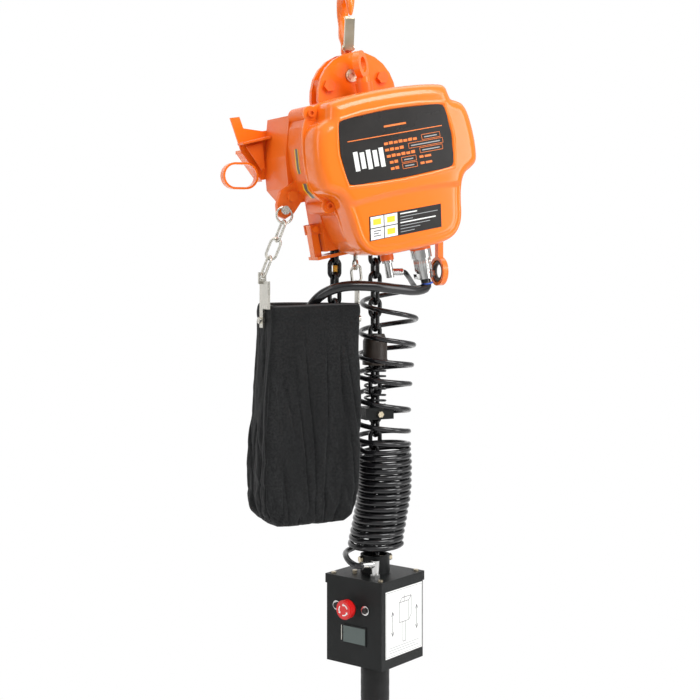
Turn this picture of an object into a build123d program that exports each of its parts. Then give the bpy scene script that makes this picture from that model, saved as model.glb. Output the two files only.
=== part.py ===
from build123d import *
import math
import os

# Electric chain hoist hanging from its top hook, with a control box and grip on the load
# strand, a load hook below them and a bag for the slack chain.
# World frame (mm): +Z up, front cover faces -Y, +X to the right seen from the front. The
# top hook hangs on the Z axis with its bowl centre just below the origin.
# Body frame: same axes, but with its origin on the suspension pin and tilted about Y.

os.makedirs("parts", exist_ok=True)

# ---------------------------------------------------------------- driving dimensions
PIN_Z = -110.0                      # suspension pin height
TILT = 10.8                         # lean of the body on its pin, right side up, degrees
BODY_X = 3.0                        # centre of the body width, body frame
WHEEL_X, WHEEL_Z = 13.2, -219.5     # lift wheel axis, world frame
WHEEL_R = 31.9                      # radius of the chain centre line
LOAD_X = WHEEL_X + WHEEL_R          # load strand
SLACK_X = WHEEL_X - WHEEL_R         # slack strand

# depths along Y, front to back
COVER_FRONT, COVER_BACK = -118.0, -69.0
CASE_BACK = -21.0
GEAR_BACK = 61.0
MOTOR_BACK = 158.0
WALL = 5.0                          # side walls of both casings
BACK_WALL = 4.5

# load chain
CHAIN_WIRE, CHAIN_PITCH, LINK_WIDTH = 6.3, 19.0, 21.3
CHAIN_STEP = CHAIN_PITCH - 0.12     # spacing of link centres
LOAD_LINKS, SLACK_LINKS = 31, 16
LAST_LINK_Z = -797.3
FIRST_LINK_Z = LAST_LINK_Z + (LOAD_LINKS - 1) * CHAIN_STEP

BOX_SIZE = 98.0
BOX_TOP, BOX_BOTTOM = -817.0, -940.0
BOX_TURN = 26.5                     # turn of the control box about the strand, degrees
GRIP_D = 41.0
GRIP_TOP, GRIP_BOTTOM = -950.0, -1094.0

# hooks
SHANK_R, SHANK_BORE_R = 6.0, 6.06
HOOK_NUT_WIDTH = 13.5               # across flats
BOWL_Z = -18.0                      # top hook bowl centre
LATCH_DROP = 52.0                   # latch pin below the bowl centre
LATCH_Z = BOWL_Z - LATCH_DROP
HOOK_TURN = 77                      # turns the opening (local -X) to face mostly -Y
LOAD_HOOK_TURN = 100
LOAD_BOWL_Z = -1187.0

# body frame (x, z) axes
PLATE_X = 4.5                       # centre between the suspension bolts
PLATE_BOLTS = [(PLATE_X - 42, -9), (PLATE_X + 42, -9)]
COVER_SCREWS = [(BODY_X - 101, -44), (BODY_X + 101, -44),
                (BODY_X - 97.5, -171), (BODY_X + 97.5, -171)]
EAR_BOLT = (-126.5, -151)
LUG_PIN = (-143.0, -167.3)
BRACKET_BOLTS = [(-86, -62), (-86, -110)]
LEVER_PIVOT = (-93.5, -203)

# body frame (x, y) axes
EYE_SOCKET = (BODY_X, -45)
POWER_SOCKET = (47, -45)
ELBOW_SOCKET = (-7, -45)

# gear train
GEAR_MODULE = 1.25
OUTPUT_TEETH, PINION_TEETH = 64, 16
LAYSHAFT_TEETH, MOTOR_TEETH = 56, 14
LAYSHAFT_DIR = 10.0                 # direction from wheel to layshaft, degrees
MOTOR_DIR = 180 - 24.5              # direction from layshaft to motor, degrees
WHEEL_SHAFT_R, LAYSHAFT_R, MOTOR_NECK_R = 9.0, 7.0, 6.0
BEARING_FIT = 0.04
WHEEL_BEARING_R, SMALL_BEARING_R, REAR_BEARING_R = 16.0, 12.0, 14.0


# ---------------------------------------------------------------- frames
def body(shape):
    """Place a body frame shape in the world."""
    return Pos(0, 0, PIN_Z) * Rot(0, -TILT, 0) * shape


def body_to_world(x, y, z):
    cos, sin = math.cos(math.radians(TILT)), math.sin(math.radians(TILT))
    return (x * cos - z * sin, y, PIN_Z + x * sin + z * cos)


def world_to_body(x, z):
    cos, sin = math.cos(math.radians(TILT)), math.sin(math.radians(TILT))
    return (x * cos + (z - PIN_Z) * sin, -x * sin + (z - PIN_Z) * cos)


def polar(x, z, radius, degrees):
    angle = math.radians(degrees)
    return (x + radius * math.cos(angle), z + radius * math.sin(angle))


def in_top_hook(shape):
    """Top hook frame: world heights, local -X is the opening side."""
    return Rot(0, 0, HOOK_TURN) * shape


def in_load_hook(shape):
    """Load hook frame: origin at the bowl centre, upside down."""
    return Pos(LOAD_X, 0, LOAD_BOWL_Z) * Rot(0, 0, LOAD_HOOK_TURN) * Rot(180, 0, 0) * shape


def in_box(shape):
    """Control box frame: centred on the strand, local -X is the panel side."""
    return Pos(LOAD_X, 0, 0) * Rot(0, 0, BOX_TURN) * shape


# ---------------------------------------------------------------- shape helpers
def cyl_x(y, z, radius, x0, x1):
    return Pos((x0 + x1) / 2, y, z) * Rot(0, 90, 0) * Cylinder(radius, x1 - x0)


def cyl_y(x, z, radius, y0, y1):
    return Pos(x, (y0 + y1) / 2, z) * Rot(90, 0, 0) * Cylinder(radius, y1 - y0)


def cyl_z(x, y, radius, z0, z1):
    return Pos(x, y, (z0 + z1) / 2) * Cylinder(radius, z1 - z0)


def box(x0, x1, y0, y1, z0, z1):
    return Pos((x0 + x1) / 2, (y0 + y1) / 2, (z0 + z1) / 2) * Box(x1 - x0, y1 - y0, z1 - z0)


def hex_y(x, z, flats, y0, y1):
    face = RegularPolygon(flats / math.sqrt(3), 6)
    return Pos(x, y1, z) * Rot(90, 0, 0) * extrude(face, y1 - y0)


def hex_z(x, y, flats, z0, z1):
    face = RegularPolygon(flats / math.sqrt(3), 6)
    return Pos(x, y, z0) * extrude(face, z1 - z0)


def prism_y(points, y0, y1):
    """Closed (x, z) outline extruded from y0 to y1."""
    outline = Polyline(*[(x, y1, z) for x, z in points], close=True)
    return extrude(make_face(outline), amount=(y1 - y0), dir=(0, -1, 0))


def ring_y(centre, inner_r, outer_r, y0, y1):
    return cyl_y(*centre, outer_r, y0, y1) - cyl_y(*centre, inner_r, y0 - 1, y1 + 1)


def inset(points, distance):
    """Move each point of a closed outline inwards, square to the line of its neighbours."""
    count = len(points)
    area = sum(points[i][0] * points[(i + 1) % count][1]
               - points[(i + 1) % count][0] * points[i][1] for i in range(count))
    shift = distance if area > 0 else -distance
    moved = []
    for i, (x, z) in enumerate(points):
        before, after = points[i - 1], points[(i + 1) % count]
        dx, dz = after[0] - before[0], after[1] - before[1]
        length = math.hypot(dx, dz) or 1
        moved.append((x - shift * dz / length, z + shift * dx / length))
    return moved


def cable(points, radius):
    path = Spline(*points)
    return sweep(Plane(origin=path @ 0, z_dir=path % 0) * Circle(radius), path=path)


def link(wire, pitch, outer_width):
    """One chain link, long axis Z, flat in XZ, centred."""
    bend = outer_width / 2 - wire / 2
    half = (pitch + wire) / 2 - bend    # half of a straight side
    path = Wire([
        Edge.make_line((bend, 0, -half), (bend, 0, half)),
        Edge.make_three_point_arc((bend, 0, half), (0, 0, half + bend), (-bend, 0, half)),
        Edge.make_line((-bend, 0, half), (-bend, 0, -half)),
        Edge.make_three_point_arc((-bend, 0, -half), (0, 0, -half - bend), (bend, 0, -half)),
    ])
    section = Plane(origin=(bend, 0, -half), z_dir=(0, 0, 1)) * Circle(wire / 2)
    return sweep(section, path=path)


def hanging_chain(count, x, first_turn):
    """Load chain links hanging down from FIRST_LINK_Z."""
    base = link(CHAIN_WIRE, CHAIN_PITCH, LINK_WIDTH)
    return [Pos(x, 0, FIRST_LINK_Z - i * CHAIN_STEP) * Rot(0, 0, first_turn + 90 * (i % 2)) * base
            for i in range(count)]


def save(name, *shapes):
    solids = [solid for shape in shapes for solid in shape.solids()]
    piece = solids[0] if len(solids) == 1 else Compound(children=solids)
    export_step(piece, f"parts/{name}.step")


# ================================================================= top hook
BOWL_R = 27.0
# centre line stations from tip to shank: x, z, section radius; origin at the bowl centre
HOOK_STATIONS = [(-28.3, -8.6, 1.9)]
for angle in (168, 150, 128, 104, 80, 56, 32, 8, -16, -40):
    travel = (168 - angle) / 208.0
    section_r = 3.2 + 7.0 * math.sin(math.pi * min(0.78, 0.10 + travel * 0.8))
    HOOK_STATIONS.append((*polar(0, 0, BOWL_R, angle), section_r))
HOOK_STATIONS += [(13.0, -30.0, 9.2), (4.5, -40.0, 8.8), (0.3, -51.0, 7.9), (0.0, -60.0, 6.8)]


def lofted_hook():
    last = len(HOOK_STATIONS) - 1
    sections = []
    for i, (x, z, radius) in enumerate(HOOK_STATIONS):
        x0, z0, _ = HOOK_STATIONS[max(0, i - 1)]
        x1, z1, _ = HOOK_STATIONS[min(last, i + 1)]
        plane = Plane(origin=(x, 0, z), z_dir=(x1 - x0, 0, z1 - z0), x_dir=(0, 1, 0))
        sections.append(plane * Circle(radius))
    return loft(sections)


LATCH_X = -12.0
LATCH_PIN_R, LATCH_HOLE_R = 2.1, 2.15
NUT_Z0, NUT_Z1 = PIN_Z + 7.6, PIN_Z + 14.4


def latch_cyl(radius, y0, y1, z=LATCH_Z):
    return cyl_y(LATCH_X, z, radius, y0, y1)


def latch_ear(z0, z1):
    """Block on the hook spine that carries the latch pin."""
    return box(-15.9, 2.0, -3.4, 3.4, z0, z1)


ear = in_top_hook(latch_ear(LATCH_Z - 5.0, LATCH_Z + 5.5) - latch_cyl(LATCH_HOLE_R, -6, 6))
hook = Pos(0, 0, BOWL_Z) * (Rot(0, 0, HOOK_TURN) * lofted_hook())
hook = hook + cyl_z(0, 0, SHANK_R, NUT_Z0, -76.0) + ear
hook -= in_top_hook(latch_cyl(LATCH_HOLE_R, -20, 20))
nut = hex_z(0, 0, HOOK_NUT_WIDTH, NUT_Z0, NUT_Z1) - cyl_z(0, 0, SHANK_R, PIN_Z, PIN_Z + 30)
save("top_hook", hook + nut)

# U-shaped sheet latch with its headed pin, shared by both hooks; outlines are (x, z)
LATCH_SIDE = [(-16.5, LATCH_Z - 5), (-9.8, LATCH_Z - 5), (-9.8, LATCH_Z + 4),
              (-19.5, -29.0), (-24.6, -28.0), (-25.0, -31.0)]
LATCH_WEB = [(-16.5, LATCH_Z - 5), (-18.0, LATCH_Z - 4.6), (-25.9, -31.0),
             (-25.6, -28.0), (-24.4, -28.0), (-24.6, -31.0)]
LATCH_HALF = 6.6
latch_sides = prism_y(LATCH_SIDE, -LATCH_HALF, -5.0) + prism_y(LATCH_SIDE, 5.0, LATCH_HALF)
latch = latch_sides + prism_y(LATCH_WEB, -LATCH_HALF, LATCH_HALF)
latch -= latch_cyl(LATCH_HOLE_R, -20, 20)
latch_pin = (latch_cyl(LATCH_PIN_R, -8.6, 8.6) + latch_cyl(3.6, -8.6, -LATCH_HALF)
             + latch_cyl(3.6, LATCH_HALF, 8.6))
pinned_latch = latch + latch_pin
save("top_latch", in_top_hook(pinned_latch))

# latch spring: a ring round the pin with a short straight leg
spring_ring = in_top_hook(latch_cyl(3.3, 3.6, 4.5) - latch_cyl(2.3, 2.6, 5.6))
spring_leg = in_top_hook(Pos(-9.0, 4.05, LATCH_Z - 3.4) * Cylinder(0.5, 4.6))
save("top_latch_spring", spring_ring + spring_leg)

# yoke between the plates: the shank enters from above, the pin crosses it
yoke = box(-21, 21, -8.6, 8.6, PIN_Z - 19, PIN_Z + 22)
yoke = yoke & cyl_y(0, PIN_Z + 1.5, 23.0, -20, 20)
yoke -= cyl_z(0, 0, SHANK_BORE_R, PIN_Z + 10, PIN_Z + 30)
yoke -= cyl_z(0, 0, 8.6, PIN_Z + 7.2, PIN_Z + 14.46)
yoke -= cyl_y(0, PIN_Z, SHANK_BORE_R, -30, 30)
save("hook_yoke", yoke)

# ================================================================= suspension (body frame)
SUSPENSION_PIN_R = 6.0
PLATE_BOLT_R = 5.0
PLATE_FRONT, PLATE_THICK = -16.0, 7.0
# plate outline: x from PLATE_X - 1, z
PLATE_OUTLINE = [
    (-60, -40.5), (-60, -26), (-57, -12), (-50, 4), (-40, 16), (-26, 26), (-10, 31.5),
    (8, 32.5), (24, 29), (38, 21), (49, 10), (57, -4), (61, -18), (62, -30), (62, -40.5)]
plates = []
for y0 in (PLATE_FRONT, 9.0):
    plate = prism_y([(x + PLATE_X - 1.0, z) for x, z in PLATE_OUTLINE], y0, y0 + PLATE_THICK)
    plate -= cyl_y(0, 0, SUSPENSION_PIN_R, -30, 30)
    for bolt_axis in PLATE_BOLTS:
        plate -= cyl_y(*bolt_axis, PLATE_BOLT_R, -30, 30)
    plates.append(body(plate))
save("suspension_plates", *plates)

pin = cyl_y(0, 0, SUSPENSION_PIN_R, -19.5, 19.5) - cyl_y(0, 0, 3.2, -20, -17.5)
pin += cyl_y(0, 0, 9.0, -18.6, PLATE_FRONT) - cyl_y(0, 0, 3.2, -20, -17.5)
save("suspension_pin", body(pin))

save("suspension_bolts", *[
    body(cyl_y(*axis, PLATE_BOLT_R, -16.0, 22.0) + hex_y(*axis, 15.5, -22.4, -16.0)
         + hex_y(*axis, 15.5, 16.0, 23.0)) for axis in PLATE_BOLTS])

# ================================================================= casing and cover (body frame)
# right half outlines: x from BODY_X, z
CASE_HALF = [
    (0, -27), (45, -28.5), (86, -33), (104, -42), (114, -60), (119.5, -82), (122, -113),
    (119, -145), (109, -160), (97, -172), (88, -186), (84, -205), (79, -224), (68, -240),
    (50, -248.5), (20, -251)]
DOME_HALF = [
    (0, -27.6), (45, -29), (82, -33.5), (91, -39), (93.5, -49), (99, -57), (108, -61.5),
    (114.5, -70), (119, -87), (121.4, -113), (118.4, -144), (108, -158.5), (95.5, -169.5),
    (87.5, -182), (83.4, -200), (82, -215), (77, -230), (66, -242), (50, -248), (20, -250.4)]


def mirrored(half):
    return ([(BODY_X + x, z) for x, z in half]
            + [(BODY_X - x, z) for x, z in reversed(half) if x > 0])


CASE_OUTLINE = mirrored(CASE_HALF)
DOME_OUTLINE = mirrored(DOME_HALF)


def case_slab(y0, y1):
    """Casing outline with its four round screw lobes."""
    slab = prism_y(CASE_OUTLINE, y0, y1)
    for screw in COVER_SCREWS:
        slab += cyl_y(*screw, 10.5, y0, y1)
    return slab


case = case_slab(COVER_BACK, CASE_BACK)
case -= prism_y(inset(CASE_OUTLINE, WALL), COVER_BACK - 1, CASE_BACK - BACK_WALL)
for screw in COVER_SCREWS:
    case += cyl_y(*screw, 8.0, COVER_BACK, CASE_BACK - 2)
    case -= cyl_y(*screw, 3.0, COVER_BACK - 1, COVER_BACK + 20)
# lower left ear that carries the ear bolt and the lug pin
EAR_OUTLINE = [(-112, -128), (-124, -134), (-141, -141), (-150, -158), (-151.5, -173),
               (-142, -179.6), (-128, -174.4), (-112, -159), (-100, -150)]
EAR_FRONT = -29
case += prism_y(EAR_OUTLINE, EAR_FRONT, CASE_BACK)
# bosses for the lifting eye, power connector and elbow, then their holes
case += cyl_z(*EYE_SOCKET, 12.0, -29, -13)
case += cyl_z(*POWER_SOCKET, 15.0, -258, -248)
case += cyl_z(*ELBOW_SOCKET, 9.5, -263, -250)
case -= cyl_z(*EYE_SOCKET, 4.0, -36, -8)
case -= cyl_z(*POWER_SOCKET, 9.0, -260, -244)
case -= cyl_z(*ELBOW_SOCKET, 5.0, -266, -244)
case -= cyl_y(*EAR_BOLT, 4.0, -40, 0)
case -= cyl_y(*LUG_PIN, 3.0, -40, 0)
case -= cyl_y(30, -120, 12, -30, 0)
save("main_casing", body(case))

FLANGE_FRONT = COVER_BACK - 5
CHIN_FRONT = COVER_FRONT + 2.5      # flat below the shoulders
PLATE_POCKET = COVER_FRONT + 1.6    # floor of the nameplate pocket


def barrel(gap):
    """Nameplate outline with bowed sides, shrunk by gap."""
    left, right, top, bottom = -78 + gap, 81 - gap, -62 - gap, -147 + gap
    upper, middle, lower = (top * 2 + bottom) / 3, (top + bottom) / 2, (top + bottom * 2) / 3
    return [(left, top), (left * 0.55, top + 4.4), (1.5, top + 6.0), (right * 0.55, top + 4.4),
            (right, top), (right + 5.0, upper), (right + 6.4, middle), (right + 5.0, lower),
            (right, bottom), (right * 0.55, bottom - 2.8), (1.5, bottom - 4.0),
            (left * 0.55, bottom - 2.8), (left, bottom), (left - 5.0, lower),
            (left - 6.4, middle), (left - 5.0, upper)]


cover = case_slab(FLANGE_FRONT, COVER_BACK)
cover += prism_y(DOME_OUTLINE, COVER_FRONT + 11, COVER_BACK - 1)
# stepped rounding of the front edge: inset, depth behind the front face
for step_inset, depth in [(0.0, 11.0), (1.0, 7.0), (2.6, 4.2), (5.0, 2.0), (8.5, 0.6), (12.0, 0)]:
    cover += prism_y(inset(DOME_OUTLINE, step_inset), COVER_FRONT + depth, COVER_FRONT + 14)
cover -= prism_y(inset(DOME_OUTLINE, 6.0), COVER_FRONT + 20, COVER_BACK + 1)
cover -= prism_y(inset(DOME_OUTLINE, 15.0), COVER_FRONT + 6, COVER_BACK + 1)
for screw in COVER_SCREWS:
    cover -= cyl_y(*screw, 3.3, COVER_BACK - 20, COVER_BACK + 1)
    cover -= cyl_y(*screw, 6.5, COVER_BACK - 60, FLANGE_FRONT)
cover -= prism_y([(BODY_X - 140, -175), (BODY_X + 140, -175),
                  (BODY_X + 140, -260), (BODY_X - 140, -260)], COVER_FRONT - 1, CHIN_FRONT)
cover -= prism_y(barrel(0), COVER_FRONT - 1, PLATE_POCKET)
save("front_cover", body(cover))
save("nameplate", body(prism_y(barrel(0.4), COVER_FRONT + 0.4, PLATE_POCKET)))

screws = []
for screw in COVER_SCREWS:
    cap_screw = cyl_y(*screw, 5.0, FLANGE_FRONT - 6, FLANGE_FRONT)
    cap_screw += cyl_y(*screw, 2.95, FLANGE_FRONT, COVER_BACK + 14)
    cap_screw -= hex_y(*screw, 5.0, COVER_BACK - 12, COVER_BACK - 8)
    screws.append(body(cap_screw))
save("cover_screws", *screws)

# films: one let into the chin, two on the left side of the casing
CHIN_LABEL = [(-56.4, -193.7), (54.6, -195.3), (49.7, -226.8), (-61.5, -226.3)]
skin = prism_y(inset(CASE_OUTLINE, -0.35), COVER_BACK, CASE_BACK)
skin -= prism_y(CASE_OUTLINE, COVER_BACK - 1, CASE_BACK + 1)
save("film_labels", body(prism_y(CHIN_LABEL, CHIN_FRONT - 0.4, CHIN_FRONT)),
     body(skin & box(-140, -90, -56, -44, -122, -88)),
     body(skin & box(-140, -80, -66, -50, -157.5, -134)))

# control board behind the cover: three blocks and a row of four cylinders
BOARD_FRONT = -60
board = box(-70, 76, BOARD_FRONT, -58.4, -205, -60)
board += (box(-60, -10, -80, BOARD_FRONT, -120, -75) + box(20, 62, -76, BOARD_FRONT, -190, -140)
          + box(-50, -20, -74, BOARD_FRONT, -190, -150))
for k in range(4):
    board += cyl_y(5 + 16 * k, -100, 6.5, -88, BOARD_FRONT)
save("control_board", body(board))

# lifting eye on the casing top
EYE_HOLE_R = 11.0
eye_frame = Pos(*EYE_SOCKET, 11.5) * Rot(0, 0, 45) * Rot(90, 0, 0)
eye = eye_frame * (Cylinder(20.0, 9.0) - Cylinder(EYE_HOLE_R, 12.0))
eye = eye + cyl_z(*EYE_SOCKET, 9.5, -13, -5) + cyl_z(*EYE_SOCKET, 3.95, -29.5, -11.5)
eye -= eye_frame * Cylinder(EYE_HOLE_R, 40.0)
save("lifting_eye", body(eye))

# ================================================================= gear casing (body frame)
WHEEL = world_to_body(WHEEL_X, WHEEL_Z)
LAYSHAFT = polar(*WHEEL, GEAR_MODULE * (OUTPUT_TEETH + PINION_TEETH) / 2, LAYSHAFT_DIR)
MOTOR = polar(*LAYSHAFT, GEAR_MODULE * (LAYSHAFT_TEETH + MOTOR_TEETH) / 2, MOTOR_DIR)
BACK_INSIDE = GEAR_BACK - BACK_WALL
GEAR_OUTLINE = [(-106, -41), (112, -41), (124, -90), (124, -140), (114, -162), (-112, -162),
                (-126, -140), (-122, -95)]
WEB_FRONT, WEB_BACK = 16.0, 20.0    # bearing plate behind the lift wheel

gear_case = prism_y(GEAR_OUTLINE, CASE_BACK, GEAR_BACK)
gear_case += box(-86, 33, CASE_BACK, 25, -236, -158)
for lug_y in (-12.0, 8.2):
    gear_case += box(-100, -85, lug_y, lug_y + 3.8, -210, -196)
cavity = prism_y(inset(GEAR_OUTLINE, WALL), -15.0, BACK_INSIDE)
cavity += box(-81.5, 28.5, -15.0, 20.5, -240, -150)
gear_case -= cavity
# lugs between the suspension plates
for x, z in PLATE_BOLTS:
    gear_case += box(x - 11, x + 11, -8.9, 8.9, -43, 2)
    gear_case -= cyl_y(x, z, 5.05, -30, 30)
gear_case -= cyl_y(*WHEEL, WHEEL_BEARING_R, -20.6, -14)
gear_case -= cyl_y(*LAYSHAFT, SMALL_BEARING_R, GEAR_BACK - 5, GEAR_BACK - 0.6)
gear_case -= cyl_y(*MOTOR, SMALL_BEARING_R, GEAR_BACK - 5, GEAR_BACK + 1)
for bolt_axis in BRACKET_BOLTS:
    gear_case -= cyl_y(*bolt_axis, 3.0, 50, 70)
gear_case -= cyl_y(*LEVER_PIVOT, 3.0, -14, 14)
web = prism_y(inset(GEAR_OUTLINE, 4.5), WEB_FRONT, WEB_BACK)
web = web & box(-200, 200, 0, 40, -155, 0)
web -= cyl_y(*WHEEL, WHEEL_BEARING_R, 10, 30)
web -= cyl_y(*LAYSHAFT, SMALL_BEARING_R, 10, 30)
gear_case += web
gear_case -= cyl_y(*LAYSHAFT, SMALL_BEARING_R, 15, 30)
save("gear_casing", body(gear_case))

# bearings: axis, shaft radius, outer radius, front, back
BEARINGS = [
    (WHEEL, WHEEL_SHAFT_R, WHEEL_BEARING_R, -20.4, -15.4),
    (WHEEL, WHEEL_SHAFT_R, WHEEL_BEARING_R, WEB_FRONT, WEB_BACK),
    (LAYSHAFT, LAYSHAFT_R, SMALL_BEARING_R, WEB_FRONT, WEB_BACK),
    (LAYSHAFT, LAYSHAFT_R, SMALL_BEARING_R, BACK_INSIDE, GEAR_BACK - 0.6),
    (MOTOR, MOTOR_NECK_R, SMALL_BEARING_R, BACK_INSIDE, GEAR_BACK),
    (MOTOR, 7.0, REAR_BEARING_R, 144.0, 150.0)]
save("shaft_bearings", *[body(ring_y(axis, shaft_r + BEARING_FIT, outer_r, y0, y1))
                         for axis, shaft_r, outer_r, y0, y1 in BEARINGS])


# ================================================================= gears and wheel (body frame)
def gear_wheel(centre, teeth, y0, y1, phase):
    """Spur gear with straight-sided teeth; phase is the angle of the first tooth."""
    pitch_r = GEAR_MODULE * teeth / 2
    tip_r, root_r = pitch_r + 0.72 * GEAR_MODULE, pitch_r - 1.35 * GEAR_MODULE
    tooth = 360.0 / teeth
    points = []
    for i in range(teeth):
        for part, radius in ((-0.29, root_r), (-0.125, tip_r), (0.125, tip_r), (0.29, root_r)):
            points.append(polar(*centre, radius, phase + i * tooth + part * tooth))
    return prism_y(points, y0, y1)


# lift wheel: hub with five notches between two flanges
wheel = (cyl_y(*WHEEL, 19.6, -11.3, 11.3) + cyl_y(*WHEEL, 38.0, -14.0, -11.3)
         + cyl_y(*WHEEL, 38.0, 11.3, 14.0))
for k in range(5):
    wheel -= cyl_y(*polar(*WHEEL, 21.5, 72 * k + 20), 5.0, -4, 4)
wheel -= cyl_y(*WHEEL, WHEEL_SHAFT_R, -30, 30)
save("lift_wheel", body(wheel))

output_gear = gear_wheel(WHEEL, OUTPUT_TEETH, 23.0, 33.0, LAYSHAFT_DIR)
save("output_gear_shaft", body(output_gear + cyl_y(*WHEEL, WHEEL_SHAFT_R, -20.0, 34.0)))

# a pinion starts half a tooth off the line of centres, so it meshes
layshaft = cyl_y(*LAYSHAFT, LAYSHAFT_R, 16.2, GEAR_BACK - 0.8)
pinion = gear_wheel(LAYSHAFT, PINION_TEETH, 22.5, 33.5, LAYSHAFT_DIR + 180 + 180.0 / PINION_TEETH)
large_gear = gear_wheel(LAYSHAFT, LAYSHAFT_TEETH, 36.0, 46.0, MOTOR_DIR)
save("layshaft_gears", body(layshaft + pinion + large_gear))

# ================================================================= motor (body frame)
motor_pinion = gear_wheel(MOTOR, MOTOR_TEETH, 35.5, 47.0, MOTOR_DIR + 180 + 180.0 / MOTOR_TEETH)
rotor = (cyl_y(*MOTOR, MOTOR_NECK_R, 35.0, 61.2) + cyl_y(*MOTOR, 7.0, 61.2, 152.0)
         + cyl_y(*MOTOR, 25.0, 80, 124))
save("motor_rotor", body(rotor + motor_pinion))

CAP_FRONT = 142.0
FIN_COUNT = 24
housing = cyl_y(*MOTOR, 50.0, GEAR_BACK, CAP_FRONT)
for k in range(FIN_COUNT):
    turn = Rot(0, 360 / FIN_COUNT * (k + 0.5), 0)
    housing += Pos(MOTOR[0], 0, MOTOR[1]) * turn * box(48, 54, GEAR_BACK + 6, 136, -1.3, 1.3)
housing -= cyl_y(*MOTOR, 45.0, GEAR_BACK + 6, 160)
housing -= cyl_y(*MOTOR, 12.5, GEAR_BACK - 1, GEAR_BACK + 8)
save("motor_housing", body(housing))

CAP_INSIDE = MOTOR_BACK - 3
end_cap = (cyl_y(*MOTOR, 52.0, CAP_FRONT, MOTOR_BACK) - cyl_y(*MOTOR, 46.0, 141, 150)
           - cyl_y(*MOTOR, 9.0, 141, CAP_INSIDE))
end_cap += cyl_y(*MOTOR, 20.0, 143.5, CAP_INSIDE)
end_cap -= cyl_y(*MOTOR, REAR_BEARING_R, 140, 150)
end_cap -= cyl_y(*MOTOR, 9.0, 141, CAP_INSIDE)
for k in range(6):
    end_cap -= cyl_y(*polar(*MOTOR, 33, 60 * k), 6.0, 148, MOTOR_BACK + 1)
save("motor_end_cap", body(end_cap))
save("motor_stator", body(cyl_y(*MOTOR, 44.9, 78, 126) - cyl_y(*MOTOR, 25.6, 70, 130)))
save("brake_disc", body(cyl_y(*MOTOR, 34.0, 133.0, 136.5) - cyl_y(*MOTOR, 7.0, 130, 140)))

# ================================================================= guide and lever (body frame)
guide = box(-81.3, 28.3, -14.8, 20.3, -236, -226)
for x in (1.8, -63.1):
    guide -= box(x - 13.2, x + 13.2, -11.6, 11.6, -240, -220)
save("chain_guide", body(guide))

lever = (box(-99, -88, -8, 8, -211, -196.5) + box(-99, -88.5, -8, 8, -246, -205)
         + box(-99, -48, -16, 16, -246, -241.5))
lever -= cyl_z(-66.0, 0, 14.5, -254, -234)
lever += cyl_y(*LEVER_PIVOT, 2.94, -12.6, 12.6) + cyl_y(*LEVER_PIVOT, 4.6, -14.0, -12.05)
save("limit_lever", body(lever))

# ================================================================= bracket, bolts, cable ring
# the bracket is drawn in the world frame; only its bolt holes follow the body
BRACKET_BACK = GEAR_BACK + 3
BRACKET_OUTLINE = [(-153, -169), (-139, -167), (-133, -183), (-104, -186), (-60, -178),
                   (-52, -247), (-106, -256), (-136, -217)]
BRACKET_LIP = [(-136, -217), (-134, -219.5), (-104, -258), (-106, -256)]
bracket = prism_y(BRACKET_OUTLINE, GEAR_BACK, BRACKET_BACK)
bracket += prism_y(BRACKET_LIP, GEAR_BACK, GEAR_BACK + 24)
bracket += box(-136, -110, GEAR_BACK + 2, GEAR_BACK + 24, -219, -214)
for bolt_axis in BRACKET_BOLTS:
    bracket -= body(cyl_y(*bolt_axis, 3.0, 50, 80))


def oval(y, width, height, corner, depth):
    """Rounded block on the bracket loop axis, running forward from y."""
    plane = Plane(origin=(-141, y, -251), z_dir=(0, -1, 0), x_dir=(1, 0, 0))
    return extrude(plane * RectangleRounded(width, height, corner), depth)


bracket_loop = oval(GEAR_BACK, 53, 38, 18.9, 12.0) - oval(GEAR_BACK + 1, 47, 32, 15.9, 14.0)
save("cable_bracket", bracket + bracket_loop)

ear_bolt = cyl_y(*EAR_BOLT, 3.95, EAR_FRONT, -10) + cyl_y(*EAR_BOLT, 7.6, -32.5, EAR_FRONT)
save("casing_bolts", body(ear_bolt), *[
    body(cyl_y(*axis, 2.95, 52, BRACKET_BACK) + hex_y(*axis, 10, BRACKET_BACK, GEAR_BACK + 7.5))
    for axis in BRACKET_BOLTS])

ring = cyl_x(-45, -386, 20.5, 121, 129) + box(121, 129, -50, -40, -367, -296)
ring -= cyl_x(-45, -386, 16.0, 110, 140)
ring -= body(prism_y(CASE_OUTLINE, COVER_BACK, CASE_BACK))
save("cable_ring_right", ring)

# ================================================================= connectors and cables
power = (cyl_z(*POWER_SOCKET, 14.8, -270, -258) + cyl_z(*POWER_SOCKET, 12.0, -290, -270)
         + cyl_z(*POWER_SOCKET, 10.8, -300, -290))
power += Pos(*POWER_SOCKET, -295) * Box(30, 9, 7)
power -= cyl_z(*POWER_SOCKET, 9.4, -302, -288)
save("power_connector", body(power))
POWER_CABLE = [
    body_to_world(*POWER_SOCKET, -290), body_to_world(*POWER_SOCKET, -301), (99, -50, -412),
    (84, -55, -420), (50, -60, -417), (8, -62, -411), (-30, -54, -408), (-54, -34, -418),
    (-66, -16, -442), (-69, -10, -476)]
save("power_cable", cable(POWER_CABLE, 7.0))

# elbows: a 5 mm radius side arm with a socket for the control cable
ARM_R, ARM_BORE_R, CABLE_R = 5.0, 3.6, 3.5
elbow = body(cyl_z(*ELBOW_SOCKET, 7.6, -267, -263) + cyl_z(*ELBOW_SOCKET, 5.6, -288, -266))
arm_x, arm_y, arm_z = body_to_world(*ELBOW_SOCKET, -280)
elbow += cyl_x(arm_y, arm_z, ARM_R, arm_x, arm_x + 20)
elbow -= cyl_x(arm_y, arm_z, ARM_BORE_R, arm_x + 9, arm_x + 22)
save("elbow_connector_top", elbow)

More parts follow.
